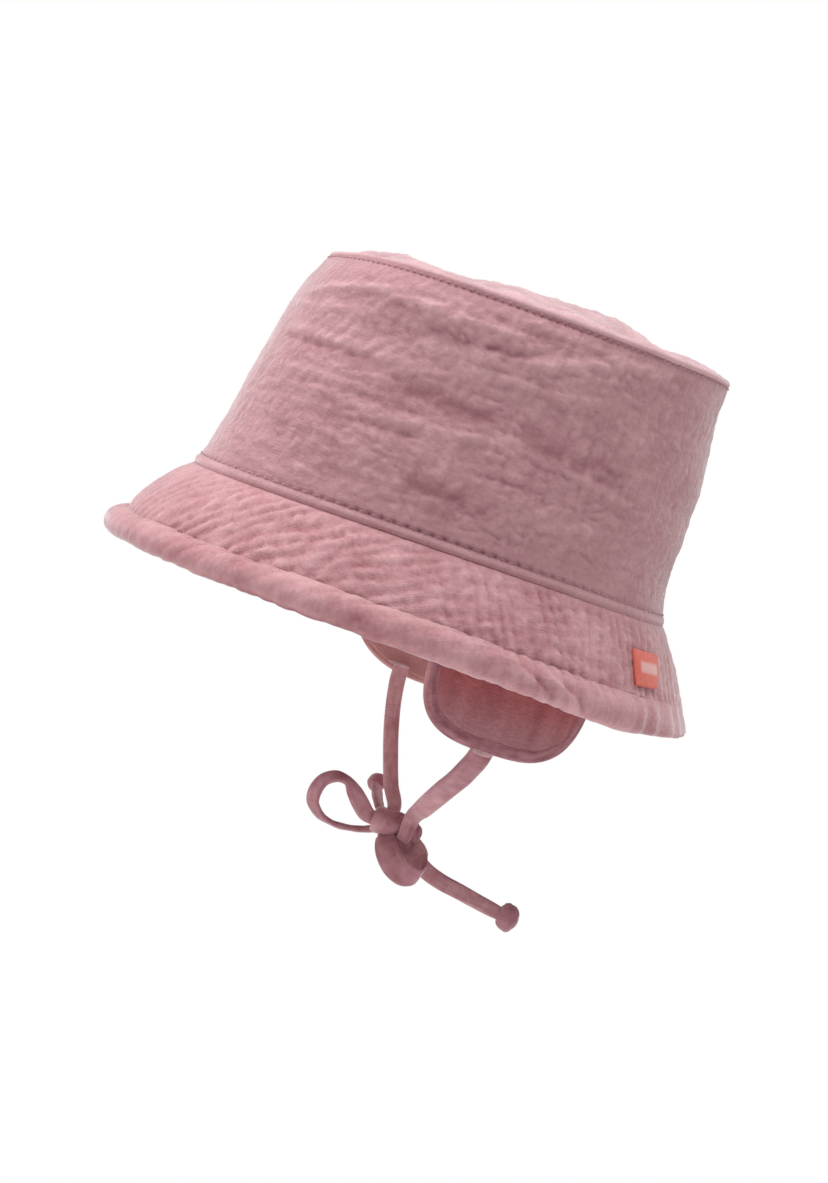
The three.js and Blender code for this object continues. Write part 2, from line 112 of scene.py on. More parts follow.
LAMPS = [  # name, azimuth from the hat's front, elevation, distance, side, watts
    ("front_lamp", -30, 30, 1.6, 0.9, 10.2),
    ("top_lamp", 30, 74, 1.5, 1.0, 20.0),
    ("back_lamp", 200, 18, 1.6, 0.9, 3.2),
    ("low_lamp", 40, -20, 1.5, 0.9, 2.2),
]
for name, azimuth, elevation, distance, side, watts in LAMPS:
    turn, lift = math.radians(azimuth), math.radians(elevation)
    beam = Vector((math.sin(turn) * math.cos(lift), -math.cos(turn) * math.cos(lift), math.sin(lift)))
    lamp_data = bpy.data.lights.new(name, "AREA")
    lamp_data.size = side
    lamp_data.energy = watts
    lamp = placed(name, lamp_data)
    lamp.location = beam * distance
    lamp.rotation_mode = "QUATERNION"
    lamp.rotation_quaternion = beam.to_track_quat("Z", "Y")

ROOM_FRONT, ROOM_BACK = 0.235, 0.82  # radiance of the tent, against 1 for white
ROOM_EVEN = 0.6  # the cosine to the camera's side past which it stays as in front
ROOM_COLOUR = (1, 0.985, 0.98, 1)
WHITE = (1, 1, 1, 1)
world = bpy.data.worlds.new("light_tent")
bpy.context.scene.world = world
world.use_nodes = True
tree = world.node_tree
tree.nodes.clear()
way = node(tree, "TexCoord", {}).outputs["Generated"]
nearness = node(tree, "VectorMath", {0: way, 1: towards_camera}, operation="DOT_PRODUCT")
strength = node(tree, "MapRange", {0: nearness.outputs["Value"], 1: -1.0, 2: ROOM_EVEN,
                                   3: ROOM_BACK, 4: ROOM_FRONT})
dim = node(tree, "Background", {"Color": ROOM_COLOUR, "Strength": strength})
white = node(tree, "Background", {"Color": WHITE, "Strength": 1.0})
seen = node(tree, "LightPath", {}).outputs["Is Camera Ray"]
tent = node(tree, "MixShader", {0: seen, 1: dim, 2: white})
node(tree, "OutputWorld", {0: tent})
bpy.context.scene.view_settings.view_transform = "Standard"

FLOOR_DEPTH = 0.42  # below the base seam
FLOOR_RADIUS, FLOOR_CORNERS = 9.0, 64
CARD_SHADED, CARD_WHITE = 0.25, 0.5  # the card takes shade within the first and is white past the second
CARD_COLOUR = 0xF7F7F7
floor_mesh = bpy.data.meshes.new("floor")
floor_rim = np.linspace(0, 2 * np.pi, FLOOR_CORNERS, endpoint=False)
floor_places = [(FLOOR_RADIUS * math.cos(a), FLOOR_RADIUS * math.sin(a), -FLOOR_DEPTH) for a in floor_rim]
floor_mesh.from_pydata(floor_places, [], [range(FLOOR_CORNERS)])
floor = placed("floor", floor_mesh)
card = bare_material("white_card")
tree = card.node_tree
where = node(tree, "TexCoord", {}).outputs["Object"]
far = node(tree, "VectorMath", {0: where}, operation="LENGTH").outputs["Value"]
fade = node(tree, "MapRange", {0: far, 1: CARD_SHADED, 2: CARD_WHITE})
paper = node(tree, "BsdfDiffuse", {"Color": linear(CARD_COLOUR)})
bright = node(tree, "Emission", {"Strength": 1.0})
blend = node(tree, "MixShader", {0: fade, 1: paper, 2: bright})
node(tree, "OutputMaterial", {0: blend})
floor_mesh.materials.append(card)

# --- ties ----------------------------------------------------------------------------------
# Two flat cloth tubes, 6.5 mm wide, folded from the hat's own gauze and stitched along one
# edge. Each starts inside its ear flap, passes the bow's knot, makes one loop, passes the
# knot again and ends in a small knot of its own. They hang limp.

CRINKLE = 0.0038  # spacing of the double gauze's crinkles


def through(xs, ys, x):
    """A smooth curve through points, read at x: between two of them it is the cubic that has,
    at each, the slope of the parabola through that point and its neighbours."""
    xs, ys, x = (np.asarray(a, float) for a in (xs, ys, x))
    slopes = np.gradient(ys, xs, axis=0)
    i = np.clip(np.searchsorted(xs, x, side="right") - 1, 0, len(xs) - 2)
    span = xs[i + 1] - xs[i]
    f = (x - xs[i]) / span
    f, span = (t.reshape(t.shape + (1,) * (ys.ndim - 1)) for t in (f, span))
    return ((1 + 2 * f) * (1 - f) ** 2 * ys[i] + f * (1 - f) ** 2 * span * slopes[i]
            + f * f * (3 - 2 * f) * ys[i + 1] + f * f * (f - 1) * span * slopes[i + 1])


def cloud(x, y, seed):
    """Smooth noise from about -1 to 1: a random slope at each corner of a unit grid, blended
    over each cell with the fade 6f^5 - 15f^4 + 10f^3."""
    turns = np.random.default_rng(seed).uniform(0, 2 * np.pi, (256, 256))
    x, y = np.broadcast_arrays(np.asarray(x, float), np.asarray(y, float))
    i, j = np.floor(x).astype(int), np.floor(y).astype(int)
    f, g = x - i, y - j
    fade_x, fade_y = (t ** 3 * (t * (6 * t - 15) + 10) for t in (f, g))

    def pull(a, b):
        """The slope at one corner of the cell, times the way from it."""
        turn = turns[(i + a) % 256, (j + b) % 256]
        return np.cos(turn) * (f - a) + np.sin(turn) * (g - b)

    low = pull(0, 0) * (1 - fade_x) + pull(1, 0) * fade_x
    high = pull(0, 1) * (1 - fade_x) + pull(1, 1) * fade_x
    return 1.5 * (low * (1 - fade_y) + high * fade_y)


def bell(distance, reach):
    """1 at no distance, falling to 0 past about twice the reach: exp(-(distance / reach)^2)."""
    return np.exp(-((np.asarray(distance) / reach) ** 2))


def unit(vectors):
    """The vectors at length 1."""
    return vectors / np.maximum(np.linalg.norm(vectors, axis=-1, keepdims=True), 1e-12)


def powered(value, power):
    """The value to a power, with its own sign kept."""
    return np.sign(value) * np.abs(value) ** power


def run(points, axis=0):
    """The distance run along lines of points, from 0 at the first."""
    steps = np.linalg.norm(np.diff(points, axis=axis), axis=-1)
    return np.insert(np.cumsum(steps, axis=axis), 0, 0, axis=axis)


def cloth_piece(name, points, flat, relief, material, replaces=(), poles=False, second=0):
    """A closed mesh from a grid of points whose last column repeats the first. Its last row
    repeats the first too, or each end row is closed on a pole in its middle. flat gives each
    point's place on the flat cloth, for the weave; relief, how proud it stands, from -1 to 1;
    and second, how much of its second pair of colours it takes."""
    grids = [points, flat, relief[..., None], np.broadcast_to(second, relief.shape)[..., None]]
    columns = points.shape[1] - 1
    if poles:
        middles = [np.broadcast_to(g[[0, -1], :columns].mean(1)[:, None], (2,) + g.shape[1:]) for g in grids]
        grids = [np.concatenate([m[:1], g, m[1:]]) for m, g in zip(middles, grids)]
    rows = len(grids[0])
    index = np.arange(rows * columns).reshape(rows, columns)
    index = np.hstack([index, index[:, :1]])
    if poles:
        index[[0, -1]] = index[[0, -1], :1]
    else:
        index[-1] = index[0]
    used, index = np.unique(index, return_inverse=True)
    index = index.reshape(rows, columns + 1)
    places, _, proud, mixed = (g[:, :columns].reshape(rows * columns, -1)[used] for g in grids)

    def corners(grid):
        """The four corners of every face of a grid."""
        return np.stack([grid[:-1, :-1], grid[:-1, 1:], grid[1:, 1:], grid[1:, :-1]], 2)

    faces = corners(index).reshape(-1, 4)
    face_flat = corners(grids[1]).reshape(-1, 4, 2)
    a, b, c, d = (places[faces[:, k]] for k in range(4))
    if np.sum(a * (np.cross(b, c) + np.cross(c, d))) < 0:
        faces, face_flat = faces[:, ::-1], face_flat[:, ::-1]
    kept = faces != np.roll(faces, 1, axis=1)
    mesh = bpy.data.meshes.new(name)
    mesh.vertices.add(len(places))
    mesh.vertices.foreach_set("co", places.astype(np.float32).ravel())
    mesh.loops.add(int(kept.sum()))
    mesh.loops.foreach_set("vertex_index", faces[kept].astype(np.int32))
    mesh.polygons.add(len(faces))
    starts = np.append(0, np.cumsum(kept.sum(1))[:-1])
    mesh.polygons.foreach_set("loop_start", starts.astype(np.int32))
    mesh.update(calc_edges=True)
    mesh.uv_layers.new(name="flat").data.foreach_set("uv", face_flat[kept].astype(np.float32).ravel())
    for label, values in (("relief", proud), ("second", mixed)):
        kept_values = mesh.attributes.new(label, "FLOAT", "POINT").data
        kept_values.foreach_set("value", values.astype(np.float32).ravel())
    mesh.shade_smooth()
    mesh.materials.append(material)
    piece = placed(name, mesh)
    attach(piece, "root")
    if replaces:
        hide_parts(*replaces)
    return piece


SLUB, THREAD = 0.0045, 0.0005  # a streak's length and width; the threads, 0.3 mm apart, are finer
CRUMB = 0.0016  # the grain that the twisted threads draw up
MOTTLE = 0.014  # patches where the dye took unevenly
TONE_BASE = 0.20  # the sum of the tones in the darkest crease
FUZZ, FUZZ_COLOUR = 0.9, 0xFFFCFC


def cotton(name, proud, creased, second=None):
    """Crinkled cotton gauze, woven loose and washed: dull, with a short fuzz that pales it at
    grazing angles. Its relief paints light and shade: proud puffs are painted paler and
    creases darker, as painted shade. It is also mottled, and thick and thin threads streak
    it both ways. Where the attribute second is 1, it takes the second pair of colours
    instead."""
    material = bare_material(name)
    tree = material.node_tree
    flat = node(tree, "UVMap", {}, uv_map="flat")
    streaks = []
    for stretch in ((SLUB, THREAD, 1), (THREAD, SLUB, 1)):
        along = node(tree, "VectorMath", {0: flat, 1: stretch}, operation="DIVIDE")
        streaks.append(node(tree, "TexNoise", {"Vector": along, "Scale": 1.0, "Detail": 1.0}))
    weave = node(tree, "Math", {0: streaks[0], 1: streaks[1]}, operation="ADD")
    crumb = node(tree, "TexNoise", {"Vector": flat, "Scale": 1 / CRUMB, "Detail": 2.0})
    patch = node(tree, "TexNoise", {"Vector": flat, "Scale": 1 / MOTTLE, "Detail": 4.0})
    height = node(tree, "Attribute", {}, attribute_name="relief").outputs["Fac"]
    tone = 0.0  # 0 in the darkest crease, 1 on the palest puff
    # The relief's share of the tone is painted shade: creases painted darker, puffs paler. The streaks,
    # grain and mottle are the cloth's own.
    for part, weight in ((height, 0.42), (weave, 0.10), (crumb, 0.50), (patch, 0.70)):
        tone = node(tree, "Math", {0: part, 1: weight, 2: tone}, operation="MULTIPLY_ADD")
    tone = node(tree, "Math", {0: tone, 1: TONE_BASE}, operation="SUBTRACT", use_clamp=True)
    colour = node(tree, "Mix", {0: tone, 6: linear(creased), 7: linear(proud)}, data_type="RGBA")
    if second:
        share = node(tree, "Attribute", {}, attribute_name="second").outputs["Fac"]
        other = node(tree, "Mix", {0: tone, 6: linear(second[1]), 7: linear(second[0])}, data_type="RGBA")
        colour = node(tree, "Mix", {0: share, 6: colour.outputs[2], 7: other.outputs[2]}, data_type="RGBA")
    rough = node(tree, "Math", {0: crumb, 1: 1.5, 2: weave}, operation="MULTIPLY_ADD")
    dent = node(tree, "Bump", {"Height": rough, "Strength": 0.5, "Distance": 0.0004})
    cloth = node(tree, "BsdfPrincipled", {
        "Base Color": colour.outputs[2], "Roughness": 0.93, "Specular IOR Level": 0.2,
        "Sheen Weight": FUZZ, "Sheen Roughness": 0.3, "Sheen Tint": linear(FUZZ_COLOUR),
        "Normal": dent})
    node(tree, "OutputMaterial", {0: cloth})
    return material


# Its second, paler pair of colours is painted light on stretches of tape.
tie_cotton = cotton("mauve_cotton_gauze_tape", 0xC08D94, 0x9A626A, second=(0xE6B9BC, 0xC99296))


TAPE_STEP = 0.0004  # between the rings of a tape
TAPE_CREASE = 0.00022  # how far its creases rise
TAPE_ROUND = 0.003  # of flat cloth to a radian round it


def strand(rows, seed, around=24, corner=3.2):
    """A flat cloth tube along a route, whose rows give its place, its width and thickness and
    the way its flat side faces. Across, it is a rounded oblong, |a|^n + |b|^n = 1 with n the
    corner. Smooth noise, drawn out along it, creases it. Returns its grid, its flat places,
    its relief and its middle line."""
    x, y, z, wide, thick, *face = np.array(rows).T
    knots = np.stack([x, y, z], -1)
    reached = run(knots)
    s = np.linspace(0, reached[-1], int(reached[-1] / TAPE_STEP))
    path = through(reached, knots, s)
    ahead = unit(np.gradient(path, axis=0))
    wanted = through(reached, np.stack(face, -1), s)
    out = unit(wanted - ahead * np.sum(wanted * ahead, -1, keepdims=True))
    side = np.cross(ahead, out)
    turn = np.linspace(0, 2 * np.pi, around + 1)
    a, b = powered(np.cos(turn), 2 / corner), powered(np.sin(turn), 2 / corner)
    half_wide = through(reached, wide, s)[:, None] / 2
    half_thick = through(reached, thick, s)[:, None] / 2
    flat_u, flat_v = a * half_wide, s[:, None] + 0 * a
    creases = (cloud(flat_u / 0.0016, flat_v / 0.009, seed)
               + 0.7 * cloud(flat_u / 0.003, flat_v / CRINKLE, seed + 1))
    lift = TAPE_CREASE * creases * np.abs(b)
    grid = (path[:, None] + side[:, None] * (a * half_wide)[..., None]
            + out[:, None] * (b * half_thick + np.sign(b) * lift)[..., None])
    flat = np.stack([turn * TAPE_ROUND + 0 * flat_v, flat_v], -1)
    return grid, flat, np.clip(creases, -1, 1), path


ROUTE_UNITS = (1000, 1000, 1000, 1000, 1000, 1, 1, 1)  # its first five columns are in mm

# From the left flap down to the knot and over its front, round the bow's lower loop and
# out to the short end.
LEFT_ROUTE = np.array([  # x, y, z, width, thickness, the way the flat side faces
    (58.3, 27.4, -52.7, 8.2, 2.2, 0.96, 0.28, 0), (57.8, 27.5, -58, 8.4, 2.2, 0.96, 0.1, -0.1),
    (51.5, 26.4, -66.5, 8.6, 2.2, 0.8, 0, -0.5), (36, 25.5, -76.8, 8.2, 2.2, 0.53, -0.13, -0.79),
    (19.5, 25, -87, 7, 2.2, 0.55, -0.2, -0.75), (11.2, 25.2, -91.6, 5.8, 2, 0.8, -0.2, -0.5),
    (8.6, 25.6, -94.5, 5.4, 2, 0.97, -0.24, 0), (8, 25.8, -97.5, 5.2, 2, 0.97, -0.24, -0.1),
    (5.8, 25.9, -100, 4.6, 2.2, 0.6, -0.2, -0.75), (2.6, 25.2, -100.6, 4, 2.4, 0.2, 0, -1),
    (0, 23.6, -99.6, 3.6, 2.6, 0.2, 0.2, -1), (0.2, 21.4, -100.1, 4.6, 2.6, 0.7, 0, -0.6),
    (3.5, 20.7, -101.9, 7.2, 2.2, 0.93, -0.25, -0.15),
    (6.8, 21.4, -104.6, 9, 2, 0.94, -0.26, -0.12),
    (9.4, 23.4, -107.3, 10, 2, 0.93, -0.26, -0.22),
    (11.4, 26.2, -109.7, 10.2, 2, 0.9, -0.14, -0.35),
    (12.1, 29.8, -111.2, 9.4, 2, 0.85, 0.15, -0.45),
    (10.7, 33.7, -110.8, 8.2, 2, 0.5, 0.75, -0.35),
    (7.8, 35.5, -108.7, 8.6, 2, -0.2, 0.95, 0.05), (4.8, 34.1, -106.3, 10, 2, -0.8, 0.5, 0.25),
    (2.4, 31.9, -103.6, 10, 2, -0.92, 0.28, 0.25),
    (0.2, 29.8, -100.9, 7.6, 2.2, -0.93, 0.2, 0.3), (-2, 26.2, -98, 3.6, 2.6, -0.8, 0, 0.6),
    (-4, 21.5, -96.3, 3.4, 2.6, -0.5, 0.2, 0.85), (-5.8, 18.9, -95.2, 4, 2.4, 0, 0.5, 0.85),
    (-12, 18.4, -93.4, 5.6, 2.2, 0, 0.5, 0.85), (-20, 18.7, -91.3, 5.6, 2.2, 0, 0.5, 0.85),
    (-28.2, 19.4, -88.9, 5, 2.4, 0, 0.5, 0.85), (-31, 19.7, -87.9, 4, 2.4, 0, 0.5, 0.85)]) / ROUTE_UNITS

# From the right flap down into the knot, round the bow's front loop, where the tape twists
# once, and out to the long end.
RIGHT_ROUTE = np.array([
    (-51.6, 18.6, -46.1, 5.8, 2.2, 0.96, -0.28, 0),
    (-49.8, 18.5, -51.4, 5.8, 2.2, 0.96, -0.28, 0), (-46.8, 19, -58.5, 5.6, 2.2, 0.96, -0.28, 0),
    (-40.5, 19.9, -67.5, 5.6, 2.2, 0.96, -0.28, 0), (-29, 20.3, -76.3, 5.5, 2.2, 0.96, -0.28, 0),
    (-15.5, 20.8, -85.3, 5.4, 2.2, 0.96, -0.28, 0),
    (-4.2, 21.8, -92.3, 4.8, 2.4, 0.96, -0.28, 0), (0.6, 19.6, -96.2, 3.8, 2.8, 0.96, -0.28, 0),
    (-0.5, 14.6, -97, 4.8, 2.4, 0.97, -0.24, 0), (0, 12, -96.2, 5.8, 2, 0.97, -0.24, 0),
    (1, 8.5, -93.5, 6.2, 1.8, 0.97, -0.24, 0.1), (2, 4.5, -90, 5.6, 1.8, 0.9, -0.24, 0.3),
    (3, 0.5, -87, 3.6, 2.4, 0.7, -0.3, 0.7), (3.5, -3.5, -86.7, 4.6, 2.2, 0.65, -0.5, 0.7),
    (2.5, -7, -89, 5.4, 2, 0.6, -0.75, 0.4), (1, -8.5, -93.5, 5.8, 1.9, 0.62, -0.8, 0),
    (-1, -7.5, -98.5, 5.8, 1.9, 0.5, -0.7, -0.5), (-2, -3.5, -102, 5.6, 2, 0.3, -0.3, -0.9),
    (-2.5, 2, -103.5, 5.4, 2.1, 0.15, 0, -1), (-3, 8.5, -103.2, 5.2, 2.2, 0.15, 0.05, -1),
    (-3.5, 13.5, -102.2, 4.6, 2.4, 0.2, 0.1, -1), (-3.6, 19, -100, 3.6, 2.8, 0.4, 0.2, -0.9),
    (-4, 24, -98.5, 3.8, 2.6, 0.7, 0, -0.6), (-4.1, 28.5, -99.4, 4.8, 2.4, 0.95, -0.2, 0.1),
    (-6.5, 34.4, -105, 6, 2.2, 0.95, -0.2, 0.1), (-4, 40.5, -109.2, 6, 2.2, 0.95, -0.2, 0.1),
    (-2, 46, -110.9, 5.9, 2.2, 0.95, -0.2, 0.1), (1, 53, -111.9, 5.7, 2.2, 0.95, -0.2, 0.1),
    (4, 60, -113, 5.5, 2.2, 0.95, -0.2, 0.1), (6.6, 67.1, -114, 5, 2.4, 0.95, -0.2, 0.1),
    (7.6, 70, -114.4, 4.2, 2.4, 0.95, -0.2, 0.1)]) / ROUTE_UNITS

# Where each tie is painted paler, as painted light: the place along it, its reach and how pale.
LEFT_PALE = [(0.047, 0.013, 0.40), (0.120, 0.007, 0.75), (0.165, 0.012, 0.35)]
RIGHT_PALE = [(0.022, 0.050, 1.15), (0.185, 0.035, 0.35)]
strands = {}
for name, route, solids, seed, wear_and_painted_light in (
        ("tie_cord_left", LEFT_ROUTE, ("tie_left", "bow_loop_back", "tie_end_short"), 11, LEFT_PALE),
        ("tie_cord_right", RIGHT_ROUTE, ("tie_right", "bow_loop_front", "tie_end_long"), 23, RIGHT_PALE)):
    grid, flat, relief, path = strand(route, seed)
    pale = sum(share * bell(flat[..., 1] - middle, reach) for middle, reach, share in wear_and_painted_light)
    pale = np.clip(pale, 0, 1)
    tie = cloth_piece(name, grid, flat, relief, tie_cotton, solids, poles=True, second=pale)
    strands[name] = (tie, path)


# --- knots ---------------------------------------------------------------------------------
# Where the ties cross they are pulled into the knot of the bow: a tight ball of folded tape,
# with one turn of tape round the neck of the front loop. Each tie's end is an overhand knot.

KNOT_RINGS, KNOT_COLUMNS = 54, 72
BAND_ROUND, BAND_SIDE = 0.16, 1.2  # how far a turn of tape falls to its edge, how steeply past it
KNOT_FLAT = 0.004  # of flat cloth to a radian


def knot(name, middle, half, turns, seed, replaces=(), hollow=-0.10):
    """A ball of wound tape: an ellipsoid on which each turn of tape, a band about a plane
    through the middle, stands proud by its own height over the hollows. A band falls away as
    the fourth power of the distance from its plane, and has creases along it. Heights are
    shares of the ball's half size."""
    fall = np.linspace(0.06, np.pi - 0.06, KNOT_RINGS)[:, None]
    round_it = np.linspace(0, 2 * np.pi, KNOT_COLUMNS + 1)
    ball = np.stack([np.sin(fall) * np.cos(round_it), np.sin(fall) * np.sin(round_it),
                     np.cos(fall) + 0 * round_it], -1)
    proud = np.full(ball.shape[:2], hollow)
    for plane, reach, high in turns:
        off = np.abs(ball @ unit(np.array(plane, float))) / reach
        band = high - BAND_ROUND * np.clip(off, 0, 1) ** 4 - BAND_SIDE * np.clip(off - 1, 0, 1)
        proud = np.maximum(proud, band)
    place = ball * half
    proud = proud + 0.04 * cloud(place[..., 0] / 0.0016, place[..., 2] / 0.0030, seed)
    proud = np.clip(proud, -0.2, 0.4)
    flat = np.stack([round_it * KNOT_FLAT + 0 * fall, fall * KNOT_FLAT + 0 * round_it], -1)
    return cloth_piece(name, np.array(middle) + place * (1 + proud[..., None]), flat,
                       np.clip(proud * 2.5, -1, 1), tie_cotton, replaces, poles=True)


def neck_band(name, middle, axis, sizes, wide, thick, seed, pale):
    """One turn of tape round a neck: an oval hoop about the axis, of an oval section, which is
    pinched by 0.15 sin^2 of the turn and creased outside."""
    axis = unit(np.array(axis, float))
    level = unit(np.cross((0, 0, 1), axis))
    turn = np.linspace(0, 2 * np.pi, 121)[:, None]
    section = np.linspace(0, 2 * np.pi, 25)
    a = np.cos(section) * wide / 2
    b = np.sin(section) * thick / 2
    creases = cloud(a / 0.0014, 2 * np.cos(turn), seed)
    size = b + 0.00025 * creases * (b > 0)
    spoke = (level * np.cos(turn)[..., None] * (sizes[0] + size)[..., None]
             + np.array((0, 0, 1)) * np.sin(turn)[..., None] * (sizes[1] + size)[..., None])
    pinch = 1 - 0.15 * np.sin(turn) ** 2
    grid = np.array(middle) + spoke + axis * (a * pinch)[..., None]
    flat = np.stack([a + 0 * turn, turn * 0.006 + 0 * a], -1)
    return cloth_piece(name, grid, flat, np.clip(creases, -1, 1), tie_cotton, second=pale)


bow_knot = knot("bow_knot_core", (0, 0.0232, -0.097), (0.0052, 0.007, 0.0044),
                (((1, 0.6, 0.1), 0.46, 0.16), ((0.2, 1, -0.6), 0.4, 0.1), ((-0.3, 0.4, 1), 0.38, 0.04)),
                31, ("bow_knot",))
# The neck band takes the tape's paler pair at a share of 0.45, as painted light.
bow_neck = neck_band("bow_neck_band", (-0.0012, 0.0176, -0.097), (0.242, 0.97, 0),
                     (0.0047, 0.0036), 0.0058, 0.0026, 33, 0.45)
bow_tuck = knot("bow_knot_tuck", (0.0032, 0.03, -0.097), (0.0028, 0.0026, 0.0034),
                (((0.6, 1, 0.3), 0.45, 0.05), ((1, -0.4, 0.8), 0.36, 0)), 39)
bow_fold = knot("bow_knot_fold", (0.0036, 0.027, -0.1022), (0.0026, 0.0036, 0.0046),
                (((0.6, 1, 0.5), 0.42, 0.06), ((1, -0.4, 0.8), 0.36, 0)), 40)
long_knot = knot("end_knot_of_long_tie", (0.0078, 0.0712, -0.1145), (0.0039, 0.0041, 0.005),
                 (((0.5, 1, 0.4), 0.4, 0.05), ((0.6, -0.8, 0.7), 0.34, 0.03)),
                 35, ("end_knot_long",), -0.02)
short_knot = knot("end_knot_of_short_tie", (-0.0318, 0.0198, -0.0876), (0.0036, 0.0034, 0.0034),
                  (((1, 0.6, -0.4), 0.4, 0.05), ((0.5, -0.4, 1), 0.34, 0.03)),
                  37, ("end_knot_short",), -0.02)

for name, with_pieces in (
        ("tie_cord_left", [short_knot, bow_knot, bow_neck, bow_tuck, bow_fold]),
        ("tie_cord_right", [long_knot])):
    tie, path = strands[name]
    places = [tuple(map(float, place)) for place in path]

# --- crown side ----------------------------------------------------------------------------
# The wall of the crown: one strip of double gauze with a lining, 2 mm thick in all, closed by
# a seam at the back of the head. It is crinkled in fine ribs and drawn into low folds that
# run round it. A row of topstitching holds the allowance down along each of its two seams.

CLOTH = 0.002  # both layers and the lining
GAP = 0.0003  # between pieces that meet at a seam
SEAM_HALF_WIDTH, SEAM_HALF_LENGTH = 0.0725, 0.0873
CROWN_RADIUS = 0.078  # its mean, which turns an angle into cloth
CROWN_COLUMNS, CROWN_ROWS = 620, 118
HIGH = 0.0010  # the rise that counts as fully proud
WALL = np.array([  # share of the height, half width, front, back
    (0.000, 0.0725, -0.0873, 0.0873), (0.112, 0.0713, -0.0851, 0.0846),
    (0.225, 0.0702, -0.0831, 0.0836), (0.337, 0.0692, -0.0815, 0.0840),
    (0.449, 0.0682, -0.0802, 0.0836), (0.562, 0.0672, -0.0786, 0.0839),
    (0.674, 0.0663, -0.0768, 0.0827), (0.787, 0.0653, -0.0746, 0.0810),
    (0.876, 0.0643, -0.0724, 0.0804), (1.000, 0.0625, -0.0669, 0.0807)])
DRAG_FOLDS = [  # in mm: rise, reach up and down, then the fold's line, as degrees and height
    (1.4, 1.5, (53, 78), (64, 77.6), (80, 78.8)),
    (1, 2.4, (58, 65.2), (69, 66.8), (90, 73), (104, 80.5), (120, 83.5)),
    (-1.1, 1.9, (54, 71.2), (66, 70.6), (84, 72.5)),
    (-0.6, 1.6, (42, 73.5), (50, 73.7), (57, 73)),
    (0.9, 1.8, (12, 70), (26, 74), (42, 79.2)),
    (0.7, 1.6, (5, 64), (16, 65), (29, 66.2)),
    (-0.8, 1.3, (14, 52.5), (32, 53.2), (48, 54.2)),
    (0.6, 2.2, (14, 56), (30, 56.8), (44, 57.5), (58, 58)),
    (-1.2, 2.8, (58, 49.4), (74, 49.2), (92, 49.8)),
    (-0.7, 1.4, (44, 42.4), (53, 42.6), (66, 43.2)),
    (0.7, 1.6, (55, 37.8), (77, 41.3), (88, 42.6), (104, 41.3), (118, 37.8)),
    (-0.7, 1.3, (44, 32.5), (56, 33.8), (68, 35.4)),
    (-1.1, 3.6, (68, 20.2), (79, 19.8), (90, 20)),
    (-0.6, 1.3, (85, 31.3), (92, 31.6), (98, 31.8)),
    (0.8, 1.8, (66, 60.8), (84, 63.6), (104, 66.5)),
    (-1.1, 6, (90, 45), (104, 45.5), (118, 44)),
    (0.6, 1.6, (80, 85), (90, 83.8), (99, 84.2)),
    (-0.6, 1.4, (70, 81.5), (80, 80.8), (92, 81.2)),
    (0.6, 1.6, (20, 42.5), (30, 44), (42, 44)),
    (-0.6, 1.6, (22, 24.5), (34, 23.8), (46, 25))]
BAGS = [  # turn, height, reach along and up, rise
    (1.33, 0.0760, 0.80, 0.014, 0.0021), (1.33, 0.0360, 0.80, 0.024, 0.0023),
    (0.92, 0.0770, 0.36, 0.007, 0.0010), (0.92, 0.0650, 0.36, 0.007, -0.0011),
    (1.70, 0.0240, 0.35, 0.008, 0.0007), (1.70, 0.0110, 0.35, 0.007, -0.0007),
    (1.50, 0.0660, 0.30, 0.007, 0.0005), (1.50, 0.0560, 0.30, 0.007, -0.0006)]
BASE_STITCHES, BASE_PITCH = 0.0034, 0.0041  # the topstitching, up from the base seam
TOP_STITCHES, TOP_PITCH = 0.0018, 0.0030  # the other row, down from the top seam
STITCH_THICK, STITCH_WAVE = 0.00032, 0.00035  # its radius, and how far it rises and dives
TAUT = -0.25  # the turn where the forehead stretches the cloth smooth


def seam(turn, out=0.0, height=0.0):
    """A point at a distance out from the base seam's ellipse, square to it, and at a height.
    The turn is from the front of the hat towards the wearer's left."""
    turn, out, height = np.broadcast_arrays(turn, out, height)
    x, y = np.sin(turn) / SEAM_HALF_WIDTH, -np.cos(turn) / SEAM_HALF_LENGTH
    size = np.hypot(x, y)
    return np.stack([SEAM_HALF_WIDTH * np.sin(turn) + out * x / size,
                     -SEAM_HALF_LENGTH * np.cos(turn) + out * y / size, height], -1)


def base_height(turn):
    """The base seam's height: 0.5 mm at the front, 1 mm more at the back, as 1 - cos, and
    2.1 mm more at the sides, as sin^2."""
    return 0.0005 + 0.0021 * np.sin(turn) ** 2 + 0.0005 * (1 - np.cos(turn))


def top_height(turn):
    """The top seam's height: 89.5 mm, with a bell-shaped dip of 5.2 mm at the front and one of
    1 mm at the back."""
    return 0.0895 - 0.0052 * bell(turn + 0.22, 0.70) - 0.001 * bell(np.pi - np.abs(turn), 0.55)


def brow(turn, reach):
    """1 where the forehead stretches the cloth, falling to 0 round the head as a bell of the
    sine of half the turn from there."""
    return bell(np.sin((turn - TAUT) / 2), reach)


def nape(turn, reach):
    """The same opposite the forehead."""
    return bell(np.cos((turn - TAUT) / 2), reach)


